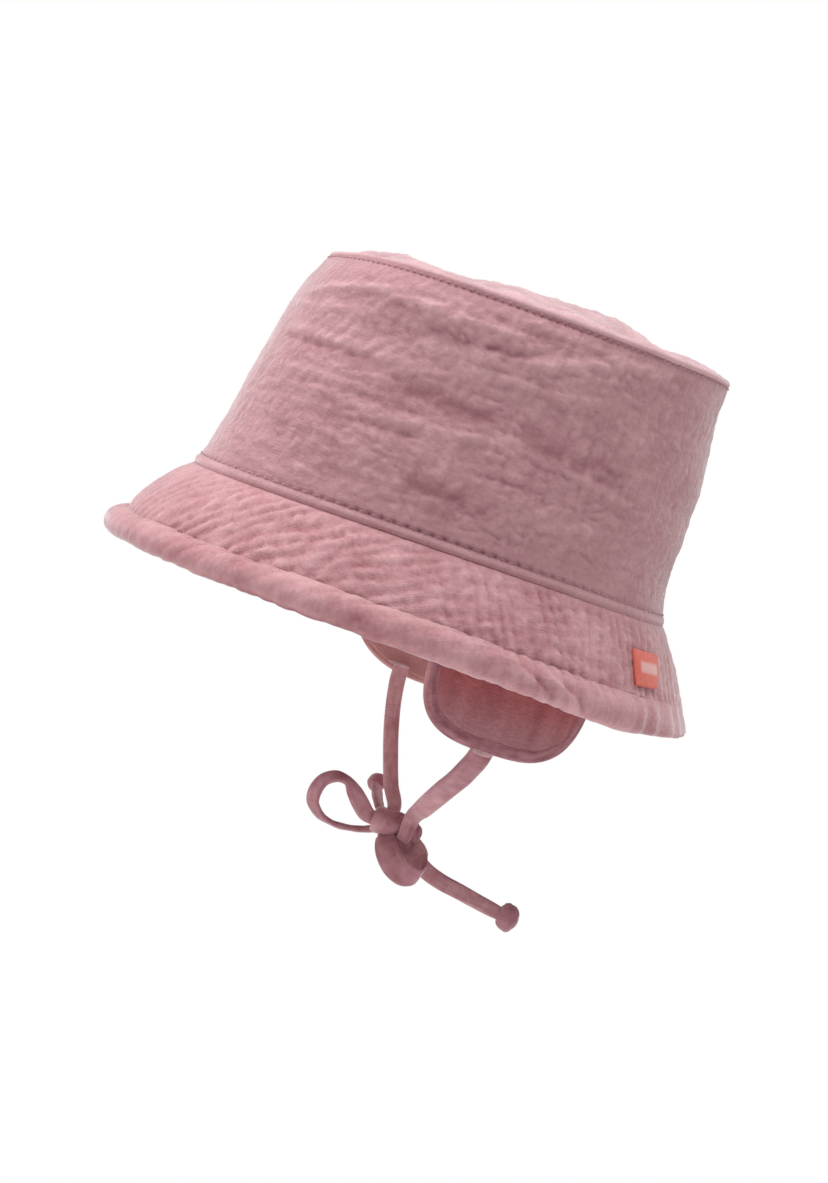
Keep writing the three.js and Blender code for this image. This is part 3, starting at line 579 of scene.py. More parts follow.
def wall(turn, share):
    """The crown's outer face, smooth: an oval at each share of the height, its half width,
    front and back read from the table, standing between the two seams. It bags a little at
    the wearer's left, as BAGS says, is stretched flat at the forehead and waves softly."""
    half_width, front, back = np.moveaxis(through(WALL[:, 0], WALL[:, 1:], share), -1, 0)
    height = base_height(turn) * (1 - share) + top_height(turn) * share
    bag = 0.0005 * cloud(turn * 1.73, height / 0.016 + 0.7 * turn, 52) - 0.0007 * brow(turn, 0.3)
    for middle, up, wide, tall, rise in BAGS:
        bag = bag + rise * bell(turn - middle, wide) * bell(height - up, tall)
    bag = bag * np.clip((height - base_height(turn)) / 0.006, 0, 1)
    bag = bag * np.clip((top_height(turn) - height) / 0.007, 0, 1)
    y = (front + back) / 2 - ((back - front) / 2 + bag) * np.cos(turn)
    return np.stack([(half_width + bag) * np.sin(turn), y, height], -1)


def facing(grid, ring=True):
    """The direction square to a grid of points, from the differences along its rows and its
    columns. In a ring the last row repeats the first."""
    along, across = np.gradient(grid, axis=0), np.gradient(grid, axis=1)
    if ring:
        along[0] = along[-1] = grid[1] - grid[-2]
    return unit(np.cross(along, across))


def crumple(x, y, long, tall, seed):
    """Creased cloth, from about -1 to 1: puffs between sharp wandering creases, a length and a
    height apart, with half as much again at half the size: 1.8 (|c1| + |c2| / 2) - 0.75, where
    c1 and c2 are smooth noise, its places pushed about by a third."""
    push = cloud(x / (2.2 * long), y / (2.2 * tall), seed)
    large = np.abs(cloud(x / long + 0.7 * push, y / tall + push, seed + 1))
    small = np.abs(cloud(2 * x / long + push, 2 * y / tall - push, seed + 2))
    return 1.8 * (large + small / 2) - 0.75


def ribs(along, across, pitch, seed):
    """Gauze drawn up into ribs, from about -1 to 1: puffs a pitch apart between sharp creases,
    1.57 |sin(pi w)| - 1, where w wanders by half a pitch. They swell and fade along themselves."""
    w = across / pitch + 0.6 * cloud(along / (6 * pitch), across / (3 * pitch), seed)
    fade = 0.6 + 0.4 * cloud(along / (4 * pitch), across / (2 * pitch), seed + 1)
    return fade * (1.57 * np.abs(np.sin(np.pi * w)) - 1)


def folds(turn, height, table):
    """The rise of the table's folds, which is in mm: each is a bell across its line, which runs
    smoothly through its points, and fades out across both ends, within an eighth of it."""
    degrees, height = np.degrees(turn), height * 1000
    rise = 0.0
    for amount, reach, *line in table:
        line = np.array(line)
        middle = through(line[:, 0], line[:, 1], np.clip(degrees, line[0, 0], line[-1, 0]))
        along = (degrees - line[0, 0]) / (line[-1, 0] - line[0, 0])
        ends = np.clip(np.minimum(along, 1 - along) * 4 + 0.5, 0, 1)
        rise = rise + amount * bell(height - middle, reach) * ends * ends * (3 - 2 * ends)
    return rise / 1000


def needle_holes(along, away, pitch):
    """1 at each needle hole of a row of stitches, falling to 0 within about two millimetres."""
    return bell(away, 0.0008) * bell((along / pitch - np.round(along / pitch)) * pitch, 0.0012)


def seam_shade(turn):
    """How dark the seams' creases are: 1 over the ears, fading towards the front and back,
    where the cloth is stretched and they open."""
    return 0.15 + 0.85 * bell(np.abs(turn) - 1.35, 0.75)


def back_seam(turn, radius):
    """1 on the seam down the back of the head, falling to 0 within about 4 mm."""
    return bell((np.pi - np.abs(turn)) * radius, 0.0018)


def drawn_in(rise, share, depth):
    """The rise, with a share of it taken down to a depth below the face, as by a seam."""
    return rise * (1 - share) - depth * share


def shell(face, out, flat, relief, height, thickness, inner, lining=None, closed=True):
    """A sheet with two faces. Each row of the face grid becomes a loop: along the outer face,
    raised by the relief; round the edge in a half circle; back along the inner face, which has
    its own number of points, is moved in by the thickness and raised by the lining's relief;
    and round the other edge, unless the sheet's middle is there, for a pole."""
    lining = -relief / 3 if lining is None else lining
    picked = np.linspace(face.shape[1] - 1, 0, inner).round().astype(int)
    outer = face + out * (relief * height)[..., None]
    under = (face - out * (thickness + (lining * height)[..., None]))[:, picked]
    half = np.linspace(0, np.pi, 6)[1:-1, None]

    def edge(first, last, beyond):
        """A half circle from the one face's end to the other's, out beyond the sheet."""
        middle, spoke = (first + last)[:, None] / 2, (first - last)[:, None] / 2
        size = np.linalg.norm(spoke, axis=-1, keepdims=True)
        return middle + spoke * np.cos(half) + unit(beyond)[:, None] * size * np.sin(half)

    ends = [edge(outer[:, -1], under[:, 0], face[:, -1] - face[:, -2])]
    spots = [flat, np.repeat(flat[:, -1:], 4, 1), flat[:, picked]]
    marks = [relief, np.repeat(relief[:, -1:], 4, 1), lining[:, picked]]
    if closed:
        ends += [edge(under[:, -1], outer[:, 0], face[:, 0] - face[:, 1]), outer[:, :1]]
        spots += [np.repeat(flat[:, :1], 5, 1)]
        marks += [np.repeat(relief[:, :1], 5, 1)]
    return (np.concatenate([outer, ends[0], under, *ends[1:]], 1), np.concatenate(spots, 1),
            np.clip(np.concatenate(marks, 1), -1, 1))


# Its second, darker pair is painted shade in needle holes and seam creases.
crown_cotton = cotton("dusty_pink_double_gauze", 0xD3A6AA, 0xA5747A, second=(0x9A5F66, 0x7C464D))
thread_cotton = cotton("mauve_sewing_thread", 0xB98A90, 0x8F636A, second=(0xD3A6AA, 0xA5747A))


def wall_rise(turn, face):
    """How proud the wall's cloth stands at a place: ribs round the crown, crossed by finer
    ones, crumple, the table's folds, the puffed seam allowance, and the two rows of stitches,
    which pull it in. The crinkle is finer behind the wearer's left ear, lies flatter where the
    head stretches it, and the stitches are sunk where the seams are slack."""
    along = turn * CROWN_RADIUS + 0 * face[..., 0]
    up = face[..., 2] - base_height(turn)
    down = top_height(turn) - face[..., 2]
    open_cloth = np.clip((up - BASE_STITCHES - 0.0006) / 0.004, 0, 1)
    open_cloth = open_cloth * np.clip((down - TOP_STITCHES - 0.0004) / 0.004, 0, 1)
    fine = 0.5 + 0.5 * np.clip(np.sin(turn - 0.9) * 1.5, -1, 1)
    taut = 1 - 0.8 * brow(turn, 0.38) - 0.65 * nape(turn, 0.38)
    crossing = 0.00032 * fine * (1 - 0.9 * nape(turn, 0.42))
    loose = ((0.00042 - 0.00022 * fine) * ribs(along, up, 0.0064, 40)
             + 0.00034 * crumple(along, up, 0.013, 0.0056, 42)
             + 0.00044 * crumple(along, up, 0.0060, 0.0044, 44)
             + 0.00020 * ribs(along, up, 0.0044, 47)
             + crossing * ribs(up, along, 0.0050, 49)) * taut
    broken = 0.75 + 0.6 * cloud(along / 0.006, up / 0.004, 51)
    rise = loose * (0.15 + 0.85 * open_cloth)
    rise = rise + folds(turn, face[..., 2], DRAG_FOLDS) * broken * (0.2 + 0.8 * open_cloth)
    rise = rise + 0.0006 * bell(up - 0.0013, 0.0015) - 0.00025 * bell(up - BASE_STITCHES, 0.0007)
    rise = rise - 0.0007 * needle_holes(along, up - BASE_STITCHES, BASE_PITCH) * seam_shade(turn)
    rise = rise - 0.0002 * bell(down - TOP_STITCHES, 0.0006) - 0.0004 * bell(down, 0.0005) * seam_shade(turn)
    rise = rise - 0.0006 * needle_holes(along, down - TOP_STITCHES, TOP_PITCH) * seam_shade(turn)
    return drawn_in(rise, back_seam(turn, 0.08), 0.0006)


def stitch_row(name, turn, share, pitch):
    """One row of topstitching in the wall: a round thread that comes up out of the cloth and
    dives back once a stitch, its height over the cloth a cosine of the way along, one to each
    stitch. Its darker colour is partly its own and partly painted shade of the seam's crease;
    where the seam opens it takes the cloth's own colours."""
    near = share[:, None] + np.array((-0.004, 0, 0.004))
    face = wall(turn[:, None], near)
    normal = facing(face)[:, 1]
    line = face[:, 1] + normal * wall_rise(turn, face[:, 1])[:, None]
    wave = np.cos(2 * np.pi * (turn * CROWN_RADIUS / pitch - 0.5))
    line = line + normal * (STITCH_WAVE * wave + 0.0003 * seam_shade(turn) - 0.0002)[:, None]
    ahead = unit(np.gradient(line, axis=0))
    side = unit(np.cross(ahead, normal))
    around = np.linspace(0, 2 * np.pi, 9)
    ring = side[:, None] * np.cos(around)[:, None] + normal[:, None] * np.sin(around)[:, None]
    flat = np.stack([0.001 * around + 0 * turn[:, None], turn[:, None] * CROWN_RADIUS + 0 * around], -1)
    cloth_piece(name, line[:, None] + STITCH_THICK * ring, flat, 0 * flat[..., 0], thread_cotton,
                second=1 - seam_shade(turn)[:, None])


turn = np.linspace(-np.pi, np.pi, CROWN_COLUMNS + 1)[:, None]
share = np.linspace(0.004, 0.998, CROWN_ROWS)
face = wall(turn, share)
along = np.broadcast_to(turn * CROWN_RADIUS, face.shape[:2])
grid, places, relief = shell(face, facing(face), np.stack([along, face[..., 2]], -1),
                             wall_rise(turn, face) / HIGH, HIGH, CLOTH, 14)

# Painted shade: the needle holes and the creases of both seams take the second, darker colours.
along, turn_at = places[..., 0], places[..., 0] / CROWN_RADIUS
up, down = places[..., 1] - base_height(turn_at), top_height(turn_at) - places[..., 1]
dark = (needle_holes(along, up - BASE_STITCHES, BASE_PITCH)
        + 0.5 * needle_holes(along, down - TOP_STITCHES, TOP_PITCH)
        + 0.5 * bell(up, 0.0005) + 0.3 * bell(down, 0.0004)) * seam_shade(turn_at)
wall_cloth = cloth_piece("crown_wall", grid, places, relief, crown_cotton, ("crown_side",),
                         second=np.clip(dark, 0, 1))
turn = np.linspace(-np.pi, np.pi, 2000)
tall = top_height(turn) - base_height(turn)
stitch_row("crown_base_stitches", turn, BASE_STITCHES / tall, BASE_PITCH)
stitch_row("crown_top_stitches", turn, 1 - TOP_STITCHES / tall, TOP_PITCH)

# --- crown top -----------------------------------------------------------------------------
# The tip of the crown: an oval of the same lined gauze, sewn all round to the wall. It puffs
# up behind the seam, is dented across towards the front, and is crinkled like the wall.

TIP_COLUMNS, TIP_RINGS = 480, 76
TIP_TOP = 0.0953
TIP_STEP = 0.0004  # from the wall's cloth up to the tip's, at the seam
TIP_RADIUS = 0.068
TIP_DENTS = [  # in mm: across, along, reach across and along, rise
    (0, -27, 70, 18, -3.6), (8, 31, 34, 11, 1.6), (0, -38, 70, 10, -2.2),
    (0, -61, 70, 7, -5.0), (0, -66.5, 70, 3.5, -11.0), (0, 41, 70, 6, -1.4),
    (0, 48, 70, 10, -4.1), (-30, 5, 16, 20, -1.2), (0, 67, 70, 8, -1.4)]


def tip(turn, share):
    """The tip's outer face, smooth: from the top seam, at share 1, it swells as 1 - share^4
    to its top in the middle, with bell-shaped dents."""
    _, half_width, front, back = WALL[-1]
    x = share * half_width * np.sin(turn)
    y = (front + back) / 2 - share * (back - front) / 2 * np.cos(turn)
    swell = 1 - share ** 4
    z = (top_height(turn) + TIP_STEP) * (1 - swell) + TIP_TOP * swell
    for across, along, wide, long, rise in np.array(TIP_DENTS) / 1000:
        z = z + rise * swell * bell(x - across, wide) * bell(y - along, long)
    return np.stack([x, y, z], -1)


turn = np.linspace(-np.pi, np.pi, TIP_COLUMNS + 1)[:, None]
share = np.linspace(0.012, 0.992, TIP_RINGS)
face = tip(turn, share)
x, y = face[..., 0], face[..., 1]
from_edge = (1 - share) * TIP_RADIUS
rise = 0.00050 * crumple(x, y, 0.011, 0.008, 60) + 0.0008 * cloud(x / 0.016, y / 0.010, 61)
rise = rise * np.clip(from_edge / 0.004, 0.15, 1)
# The seam allowance under it stands proud over the ears, unevenly.
allowance = 0.0006 * bell(from_edge - 0.0040, 0.0026) * (1 + 0.7 * cloud(turn * 9, share * 4, 63))
rise = rise + allowance * bell(np.abs(turn) - 1.75, 0.9)
# The tip is the wall's gauze; its paler colours are painted light, as the top of the hat is lit from above.
tip_cotton = cotton("pink_double_gauze_with_painted_top_light", 0xE3BCC0, 0xB8898F)
grid, places, relief = shell(face, -facing(face), face[..., :2], rise / HIGH, HIGH, CLOTH, 12,
                             closed=False)
tip_cloth = cloth_piece("crown_tip", grid.transpose(1, 0, 2), places.transpose(1, 0, 2), relief.T,
                        tip_cotton, ("crown_top",), poles=True)

# --- brim ----------------------------------------------------------------------------------
# A ring of lined gauze cut on the bias and sewn up under the crown. It falls steeply, folds
# at its foot and comes back up outside itself as a padded band 12 mm wide, whose top edge
# rests on it. Across the nape its hem is drawn up in small gathers.

BRIM_COLUMNS, BRIM_ROWS = 660, 76
CUT_RADIUS = 0.160  # of its inner edge, cut flat
BRIM_HIGH = 0.0012  # the rise that counts as fully proud on it
BRIM_PLACES = np.array([0, 90, 130, 152, 180])  # degrees from the front
BRIM_OUT = np.array([  # the middle of the cloth at each place, out from the base seam, in mm
    (-1.6, 0.4, 4.9, 10.2, 14.0, 15.6, 16.2, 17.8, 20.0, 20.9, 19.6, 17.5),
    (-1.6, 0.9, 4.7, 9.6, 13.3, 15.6, 16.8, 18.8, 21.6, 22.6, 21.2, 18.0),
    (-1.6, 0.8, 4.4, 8.8, 12.4, 15.0, 17.0, 19.2, 20.8, 20.6, 18.9, 16.6),
    (-1.6, 0.8, 4.3, 8.8, 12.4, 15.2, 17.6, 19.6, 19.9, 18.5, 16.9, 15.7),
    (-1.6, 0.9, 4.4, 8.6, 11.8, 14.4, 16.8, 18.5, 18.6, 17.0, 15.4, 14.3)]) / 1000
BRIM_HEIGHT = np.array([  # and its height
    (0, -1.9, -5.7, -12.1, -18.2, -23.4, -28.2, -31.4, -30.6, -28.0, -25.2, -23.2),
    (0, -2.2, -6.2, -12.0, -17.7, -23.0, -27.8, -31.0, -30.0, -26.9, -23.4, -21.0),
    (0, -2.2, -6.6, -12.8, -19.0, -24.5, -30.0, -33.4, -32.2, -29.0, -25.6, -23.0),
    (0, -2.1, -6.6, -12.6, -18.0, -22.8, -27.8, -31.4, -31.2, -28.2, -25.2, -23.0),
    (0, -1.9, -6.6, -12.4, -17.4, -22.0, -26.4, -29.8, -30.0, -27.2, -24.6, -22.6)]) / 1000
FOOT_ROW = 7.3  # where the line turns up into the band
PADDING = 0.55  # how much thicker the band is, apart from the nape
GATHER_START = math.radians(126)
GATHERS = 8
LAY = 0.42  # the turn of the cloth's grain at the front
DARK_FOOT_TURN = 0.95  # the turn about which the lowest edge of the foot is painted dark red
BAND_FOLDS = [  # pulled aslant into the band behind the ear, written as the crown's folds are
    (0.6, 1.2, (100, -25.2), (105, -28.5), (109, -31.8)),
    (-0.6, 1, (102, -25), (107, -28.5), (111, -32)),
    (0.6, 1.2, (107, -25), (112, -28.5), (116, -32)),
    (-0.6, 1, (109, -25), (114, -28.5), (118, -32.2)),
    (0.4, 1.4, (84, -25.5), (88, -28), (94, -31.5)),
    (-0.4, 1.4, (68, -26.2), (74, -29), (80, -31.8))]


def ease(value, low, high):
    """0 up to the low value, 1 from the high one, and 3t^2 - 2t^3 between."""
    t = np.clip((value - low) / (high - low), 0, 1)
    return t * t * (3 - 2 * t)


def brim_line(turn, row):
    """The middle of the brim's cloth: the table's lines, blended round the hat with an ease
    between each two places and joined smoothly along each line. The seam's own rise fades
    out by row 5. Returns how far out it is and how high."""
    degrees = np.degrees(np.abs(turn))
    lines = through(np.arange(12), np.stack([BRIM_OUT, BRIM_HEIGHT], -1).transpose(1, 0, 2), row)
    blended = 0
    for k in range(4):
        share = ease(degrees, BRIM_PLACES[k], BRIM_PLACES[k + 1])[..., None]
        here = (degrees >= BRIM_PLACES[k]) & (degrees <= BRIM_PLACES[k + 1])
        part = lines[:, k] * (1 - share) + lines[:, k + 1] * share
        blended = np.where(here[..., None], part, blended)
    return blended[..., 0], blended[..., 1] + base_height(turn) * ease(5 - row, 0, 5) - GAP / 2


def gather(turn):
    """The hem's ripple across the nape, 0 in front of it: one cosine to each gather, its
    place pushed about by up to a fifth of one. It is deepest where the gathers begin."""
    back = np.pi - GATHER_START
    away = np.abs(turn) - GATHER_START
    uneven = np.sign(turn) * 0.2 * cloud(away * 6, 0, 87)
    deep = 0.00022 + 0.00024 * bell(away - 0.10, 0.18)
    return deep * ease(away, 0, back / 5) * np.cos(2 * np.pi * (GATHERS * away / back + uneven))


turn = np.linspace(-np.pi, np.pi, BRIM_COLUMNS + 1)[:, None]
row = np.linspace(0.05, 11, BRIM_ROWS)
out, height = brim_line(turn, row)
hem = ease(row, 3.3, 6.6)
middle = seam(turn, out + gather(turn) * hem, height)
normal = -facing(middle)

# Cut flat, the brim is half a ring, so a turn of the hat is half as much on the cloth. The
# grain then crosses the brim aslant: its ribs follow one thread at the front and the other
# at the sides.
fall = run(middle, axis=1)
foot = np.array([np.interp(FOOT_ROW, row, line) for line in fall])[:, None]
in_band = ease(row, FOOT_ROW - 0.6, FOOT_ROW + 0.4)
radius = CUT_RADIUS + np.minimum(fall, 2 * foot - fall)
grain_x, grain_y = radius * np.sin(turn / 2 + LAY), radius * np.cos(turn / 2 + LAY)
round_to = np.abs(turn)
side_on = ease(round_to, 1.15, 1.75)
taut = 1 - 0.8 * brow(turn, 0.30) - 0.6 * nape(turn, 0.36)
warp = (0.00085 - 0.00030 * side_on) * ribs(grain_y, grain_x, 0.0050, 80)
weft = 0.00062 * side_on * ribs(grain_x, grain_y, 0.0048, 84)
puffs = 0.00060 * crumple(grain_y, grain_x, 0.0080, 0.0050, 88)
rise = (warp + weft + puffs) * taut + 0.0004 * cloud(grain_x / 0.02, grain_y / 0.03, 83)
rise = rise * ease(fall, 0.0005, 0.006) * (1 - in_band)
rise = rise - 0.0006 * seam_shade(turn) * bell(fall - 0.0008, 0.0010)

# The band shows the cloth's other face, which has a crinkle of its own.
band_ribs = 0.00036 * (1 - 0.8 * ease(round_to, 2.1, 2.4)) * ribs(grain_y, grain_x, 0.0060, 91)
band_rise = ((band_ribs + 0.00030 * crumple(grain_y, grain_x, 0.012, 0.006, 95)) * taut
             + 0.00078 * bell(round_to - 1.90, 0.22) * ribs(grain_x, grain_y, 0.0056, 93)
             + 0.0006 * cloud(grain_x / 0.02, grain_y / 0.02, 85)
             + folds(round_to, middle[..., 2], BAND_FOLDS))
rise = drawn_in(rise, back_seam(turn, 0.09), 0.0005)
band_rise = drawn_in(band_rise, back_seam(turn, 0.09), 0.0005)
under = in_band * band_rise + (1 - in_band) * 0.3 * band_rise
padded = 1 - ease(round_to, math.radians(120), math.radians(140))
thick = CLOTH * (1 + PADDING * padded * ease(row, 7.0, 8.6) * ease(11.6 - row, 0.3, 2.2))
grid, places, relief = shell(middle + normal * CLOTH / 2, normal, np.stack([grain_x, grain_y], -1),
                             rise / BRIM_HIGH, BRIM_HIGH, thick[..., None], 64,
                             lining=under / BRIM_HIGH)
brim_cotton = cotton("bias_cut_double_gauze", 0xDEB0B4, 0xA5696F, second=(0x93404C, 0x74303C))
# The lowest edge of the foot takes the dark red second pair, fading away from that turn.
low = grid[..., 2] - grid[..., 2].min(axis=1, keepdims=True)
dark_foot = 0.9 * bell(low, 0.0010) * bell(turn - DARK_FOOT_TURN, 0.36)
brim_cloth = cloth_piece("brim_ring", grid, places, relief, brim_cotton, ("brim",),
                         second=dark_foot)

# --- label ---------------------------------------------------------------------------------
# A small folded tab of coral satin ribbon, stitched down on the brim behind the left ear. It
# bears a plain pale woven bar.

LABEL_FROM, LABEL_TO = math.radians(133), math.radians(144.4)
LABEL_TAPER = math.radians(2.6)  # it is narrower at its foot
LABEL_ROWS = (2.55, 4.08)  # of the brim's line
LABEL_LIFT, LABEL_BOW = 0.0023, 0.0006  # over the middle of the brim's cloth, and its bulge
LABEL_THICK = 0.0009
LABEL_COLUMNS, LABEL_LINES = 40, 36
RIDGES = 0.00045  # from one woven ridge to the next
BAR = ((0, 0.0088, 0.0056), (1, 0.0057, 0.0019))  # each way: its middle and half its size
BAR_BLUR = 0.0006  # at its edge

# Woven polyester satin: smoother than the cotton, with a soft gloss over fine ridges.
ribbon = bare_material("coral_woven_ribbon")
tree = ribbon.node_tree
flat = node(tree, "UVMap", {}, uv_map="flat")
split = node(tree, "SeparateXYZ", {0: flat})
ridges = node(tree, "Math", {0: split.outputs[1], 1: 2 * math.pi / RIDGES}, operation="MULTIPLY")
ridges = node(tree, "Math", {0: ridges}, operation="SINE")
wear_and_painted_light = node(tree, "TexNoise", {"Vector": flat, "Scale": 1 / 0.002, "Detail": 2.0})
coral = node(tree, "Mix", {0: wear_and_painted_light, 6: linear(0xD65546), 7: linear(0xE87866)}, data_type="RGBA")
inside = []
for axis, centre, half in BAR:
    off = node(tree, "Math", {0: split.outputs[axis], 1: centre}, operation="SUBTRACT")
    off = node(tree, "Math", {0: off}, operation="ABSOLUTE")
    inside.append(node(tree, "MapRange", {0: off, 1: half + BAR_BLUR, 2: half - BAR_BLUR}))
bar = node(tree, "Math", {0: inside[0], 1: inside[1]}, operation="MULTIPLY")
colour = node(tree, "Mix", {0: bar, 6: coral.outputs[2], 7: linear(0xE4ADA6)}, data_type="RGBA")
dent = node(tree, "Bump", {"Height": ridges, "Strength": 0.4, "Distance": 0.00008})
satin = node(tree, "BsdfPrincipled", {
    "Base Color": colour.outputs[2], "Roughness": 0.55, "Specular IOR Level": 0.35,
    "Sheen Weight": 0.15, "Normal": dent})
node(tree, "OutputMaterial", {0: satin})

row = np.linspace(*LABEL_ROWS, LABEL_LINES)
share_x, share_y = np.linspace(0, 1, LABEL_COLUMNS)[:, None], np.linspace(0, 1, LABEL_LINES)
turn = LABEL_FROM + share_x * (LABEL_TO - LABEL_FROM - LABEL_TAPER * share_y)
middle = seam(turn, *brim_line(turn, row))
normal = -facing(middle, ring=False)
lift = LABEL_LIFT + LABEL_BOW * np.sin(np.pi * share_x) * np.sin(np.pi * share_y)
flat = np.stack([run(middle), run(middle, axis=1)], -1)
grid, places, relief = shell(middle + normal * lift[..., None], normal, flat, 0 * lift, 0.0005,
                             LABEL_THICK, LABEL_LINES)
cloth_piece("side_label", grid, places, relief, ribbon, ("label",), poles=True)

# --- ear flaps -----------------------------------------------------------------------------
# A U-shaped panel of thin lined cloth under each side of the brim, sewn in at the base seam
# and drawn in towards the chin by its tie. A strip of gauze 5 mm wide when it is folded in
# half binds its edge.

FLAP_MIDDLE = math.radians(109.5)
FLAP_DEPTH, FLAP_SQUARE = 0.0585, 0.028  # to its end, and to where its sides begin to round
FLAP_SEAT = 0.00485  # the sheet's middle, in from the base seam
FLAP_TUCK = 0.003  # how far it runs on up behind the seam
FLAP_RADIUS = 0.081  # turns its width into a turn round the seam
FLAP_COLUMNS, FLAP_ROWS = 110, 90
EDGE_PLACES = 500
FLAP_HIGH = 0.0008  # the rise that counts as fully proud on it
PANEL_MARGIN, PANEL_THICK = 0.0018, 0.0012
LINING_SEAT, LINING_HIGH, LINING_THICK = 0.0008, 0.0002, 0.0004
BINDING_WIDE, BINDING_THICK = 0.0052, 0.0021
FLAPS = [  # side, turn, lean in, lean back, lift, then half width and roundness to front and back
    ("left", 1, 0.003, 0.0045, 0.0, (0.0332, 0.0374), (3.7, 2.7)),
    ("right", -1, 0.012, 0.0040, 0.0047, (0.0330, 0.0345), (2.5, 3.0))]


def flap_sheet(flap, across, down):
    """The middle of a flap's cloth. It hangs from the seam, an arc of it to each part of its
    width, and leans in as the square of the way down."""
    _, side, lean_in, lean_back, lift, _, _ = flap
    share = np.maximum(0, down) / FLAP_DEPTH
    lean = lean_in * share ** 2
    place = seam(side * (FLAP_MIDDLE + across / FLAP_RADIUS), -FLAP_SEAT - lean,
                 lift * share + 0.35 * lean * share - down)
    place[..., 1] += lean_back * share
    return place


def flap_edge(flap, margin):
    """The flap's outline, a margin in from its edge, as places even along it: down the front
    side, round the end, which is half of an oblong |x|^n + |y|^n = 1, and up the back."""
    *_, halves, roundness = flap
    bend = np.linspace(0, np.pi, 600)
    back = bend > np.pi / 2
    power = 2 / np.where(back, roundness[1], roundness[0])
    half = np.where(back, halves[1], halves[0]) - margin
    x = -powered(np.cos(bend), power) * half
    y = FLAP_SQUARE + (FLAP_DEPTH - margin - FLAP_SQUARE) * np.abs(np.sin(bend)) ** power
    x = np.concatenate([x[:1], x, x[-1:]])
    y = np.concatenate([[-FLAP_TUCK], y, [-FLAP_TUCK]])
    reached = run(np.stack([x, y], -1))
    s = np.linspace(0, reached[-1], EDGE_PLACES)
    return np.interp(s, reached, x), np.interp(s, reached, y)


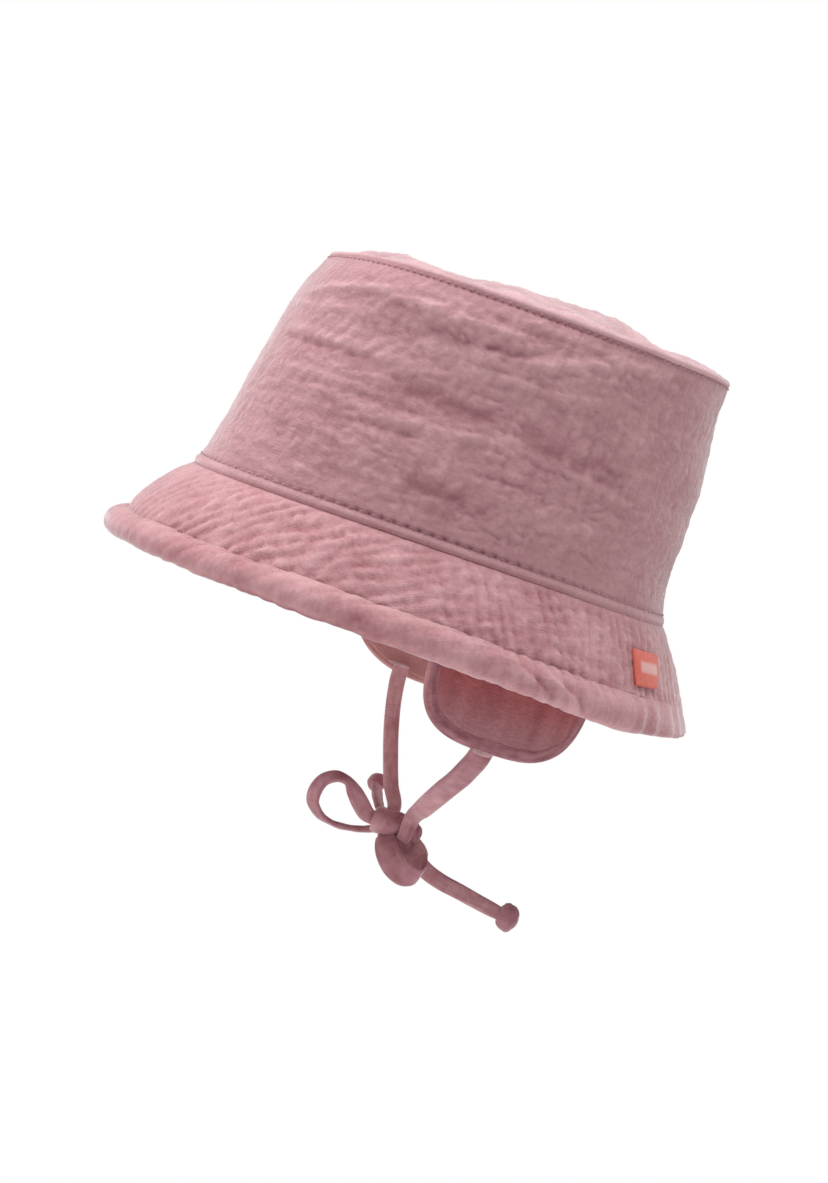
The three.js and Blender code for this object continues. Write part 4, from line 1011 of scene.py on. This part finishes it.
flap_cotton = cotton("salmon_cotton_batiste", 0xB86A6C, 0x914C50, second=(0xBE8D91, 0x985F65))
lining_cotton = cotton("pale_pink_lining_and_painted_light", 0xE6B3B0, 0xC48B8B)
binding_cotton = cotton("mauve_gauze_binding", 0xBC868D, 0x8C5860, second=(0xE0A9A8, 0xC38C8C))
for flap in FLAPS:
    name, side = flap[:2]

    # The panel: columns from the seam down to its outline, a hair apart where that is upright.
    edge_x, edge_y = flap_edge(flap, PANEL_MARGIN)
    half = (edge_x[-1] - edge_x[0]) / 2
    spread = np.sin(np.linspace(-1.57, 1.57, FLAP_COLUMNS))  # closer towards the sides
    across = (edge_x[0] + edge_x[-1]) / 2 + half * spread
    lowest = np.interp(across, edge_x + np.linspace(0, 1e-6, EDGE_PLACES), edge_y)[:, None]
    down = -FLAP_TUCK + (lowest + FLAP_TUCK) * np.linspace(0, 1, FLAP_ROWS)
    across = across[:, None] + 0 * down
    middle = flap_sheet(flap, across, down)
    normal = facing(middle, ring=False)
    normal = normal * np.sign(np.sum(normal * (middle * (1, 1, 0)), -1, keepdims=True))
    rise = (0.0006 * cloud(across / 0.0050, down / 0.05, 101 + side)
            + 0.0002 * crumple(across, down, 0.004, 0.006, 103 + side))
    inside = np.minimum(lowest - down, half - np.abs(across - across.mean()))
    rise = rise * (0.2 + 0.8 * ease(inside, 0.0045, 0.0095))
    flat = np.stack([across, down], -1)
    grid, places, relief = shell(middle + normal * PANEL_THICK / 2, normal, flat,
                                 rise / FLAP_HIGH, FLAP_HIGH, PANEL_THICK, FLAP_ROWS)
    # Its lower part takes the paler second pair, painted light where it hangs out of the brim's shade.
    paler = ease(places[..., 1], 0.034, 0.054)
    panel = cloth_piece("flap_panel_" + name, grid, places, relief, flap_cotton,
                        ("ear_flap_" + name,), poles=True, second=paler)

    # The lining, a thin sheet on its inner side. Its pale colours are partly its own and partly painted
    # light against the shade inside the hat.
    grid, places, relief = shell(middle - normal * LINING_SEAT, normal, flat,
                                 rise / FLAP_HIGH / 2, LINING_HIGH, LINING_THICK, FLAP_ROWS)
    lining = cloth_piece("flap_lining_" + name, grid, places, relief, lining_cotton,
                         poles=True)

    # The binding, a flattened tube along the edge. Its inner side is painted paler, as painted light against
    # the shade inside the hat, and one side of its rim is paler about 42 mm along it.
    edge_x, edge_y = flap_edge(flap, BINDING_WIDE / 2)
    path = flap_sheet(flap, edge_x, edge_y)
    to_middle = flap_sheet(flap, edge_x * 0.9, edge_y) - path
    to_seam = flap_sheet(flap, edge_x, edge_y - 0.003) - path
    face_out = unit(np.cross(to_middle, to_seam))
    face_out = face_out * np.sign(np.sum(face_out * path * (1, 1, 0), -1, keepdims=True))
    sizes = np.broadcast_to((BINDING_WIDE, BINDING_THICK), (EDGE_PLACES, 2))
    grid, flat, relief, _ = strand(np.concatenate([path, sizes, face_out], -1), 110 + side,
                                   around=32, corner=2.1)
    section = np.linspace(0, 2 * np.pi, 33)
    pale_rim_patch = np.clip(np.cos(section), 0, 1) ** 2 * bell(flat[..., 1] - 0.042, 0.008)
    binding = cloth_piece("flap_edge_" + name, grid, flat, relief, binding_cotton,
                          ("flap_binding_" + name,), poles=True,
                          second=np.maximum(section > np.pi, pale_rim_patch))

# --- bar tacks -----------------------------------------------------------------------------
# Each tie is sewn to its flap with one short bar tack: a dense band of pale thread across the
# tie, a little wider than it.

TACKS = [  # name, its middle, its direction, the side it is seen from, its width
    ("tie_tack_left", (0.0622, 0.0268, -0.0575), (-0.26, 0.97, 0.0), (0.96, 0.26, -0.10), 0.0026),
    ("tie_tack_right", (-0.0499, 0.0172, -0.0459), (0.28, 0.96, 0.0), (0.96, -0.28, 0.00), 0.0016)]
tack_cotton = cotton("pale_mauve_tack_thread", 0xE0B8BA, 0xBC9295)
TACK_SHAPE = [  # along it, share of its width, thickness
    (-0.0040, 0.6, 0.0008), (-0.0013, 1, 0.0012), (0.0013, 1, 0.0012), (0.0040, 0.6, 0.0008)]
for name, middle, along, face_out, widest in TACKS:
    rows = [(*(np.array(middle) + unit(np.array(along)) * reach), share * widest, thick, *face_out)
            for reach, share, thick in TACK_SHAPE]
    grid, flat, relief, _ = strand(rows, 120, around=16)
    cloth_piece(name, grid, flat, relief, tack_cotton, poles=True)
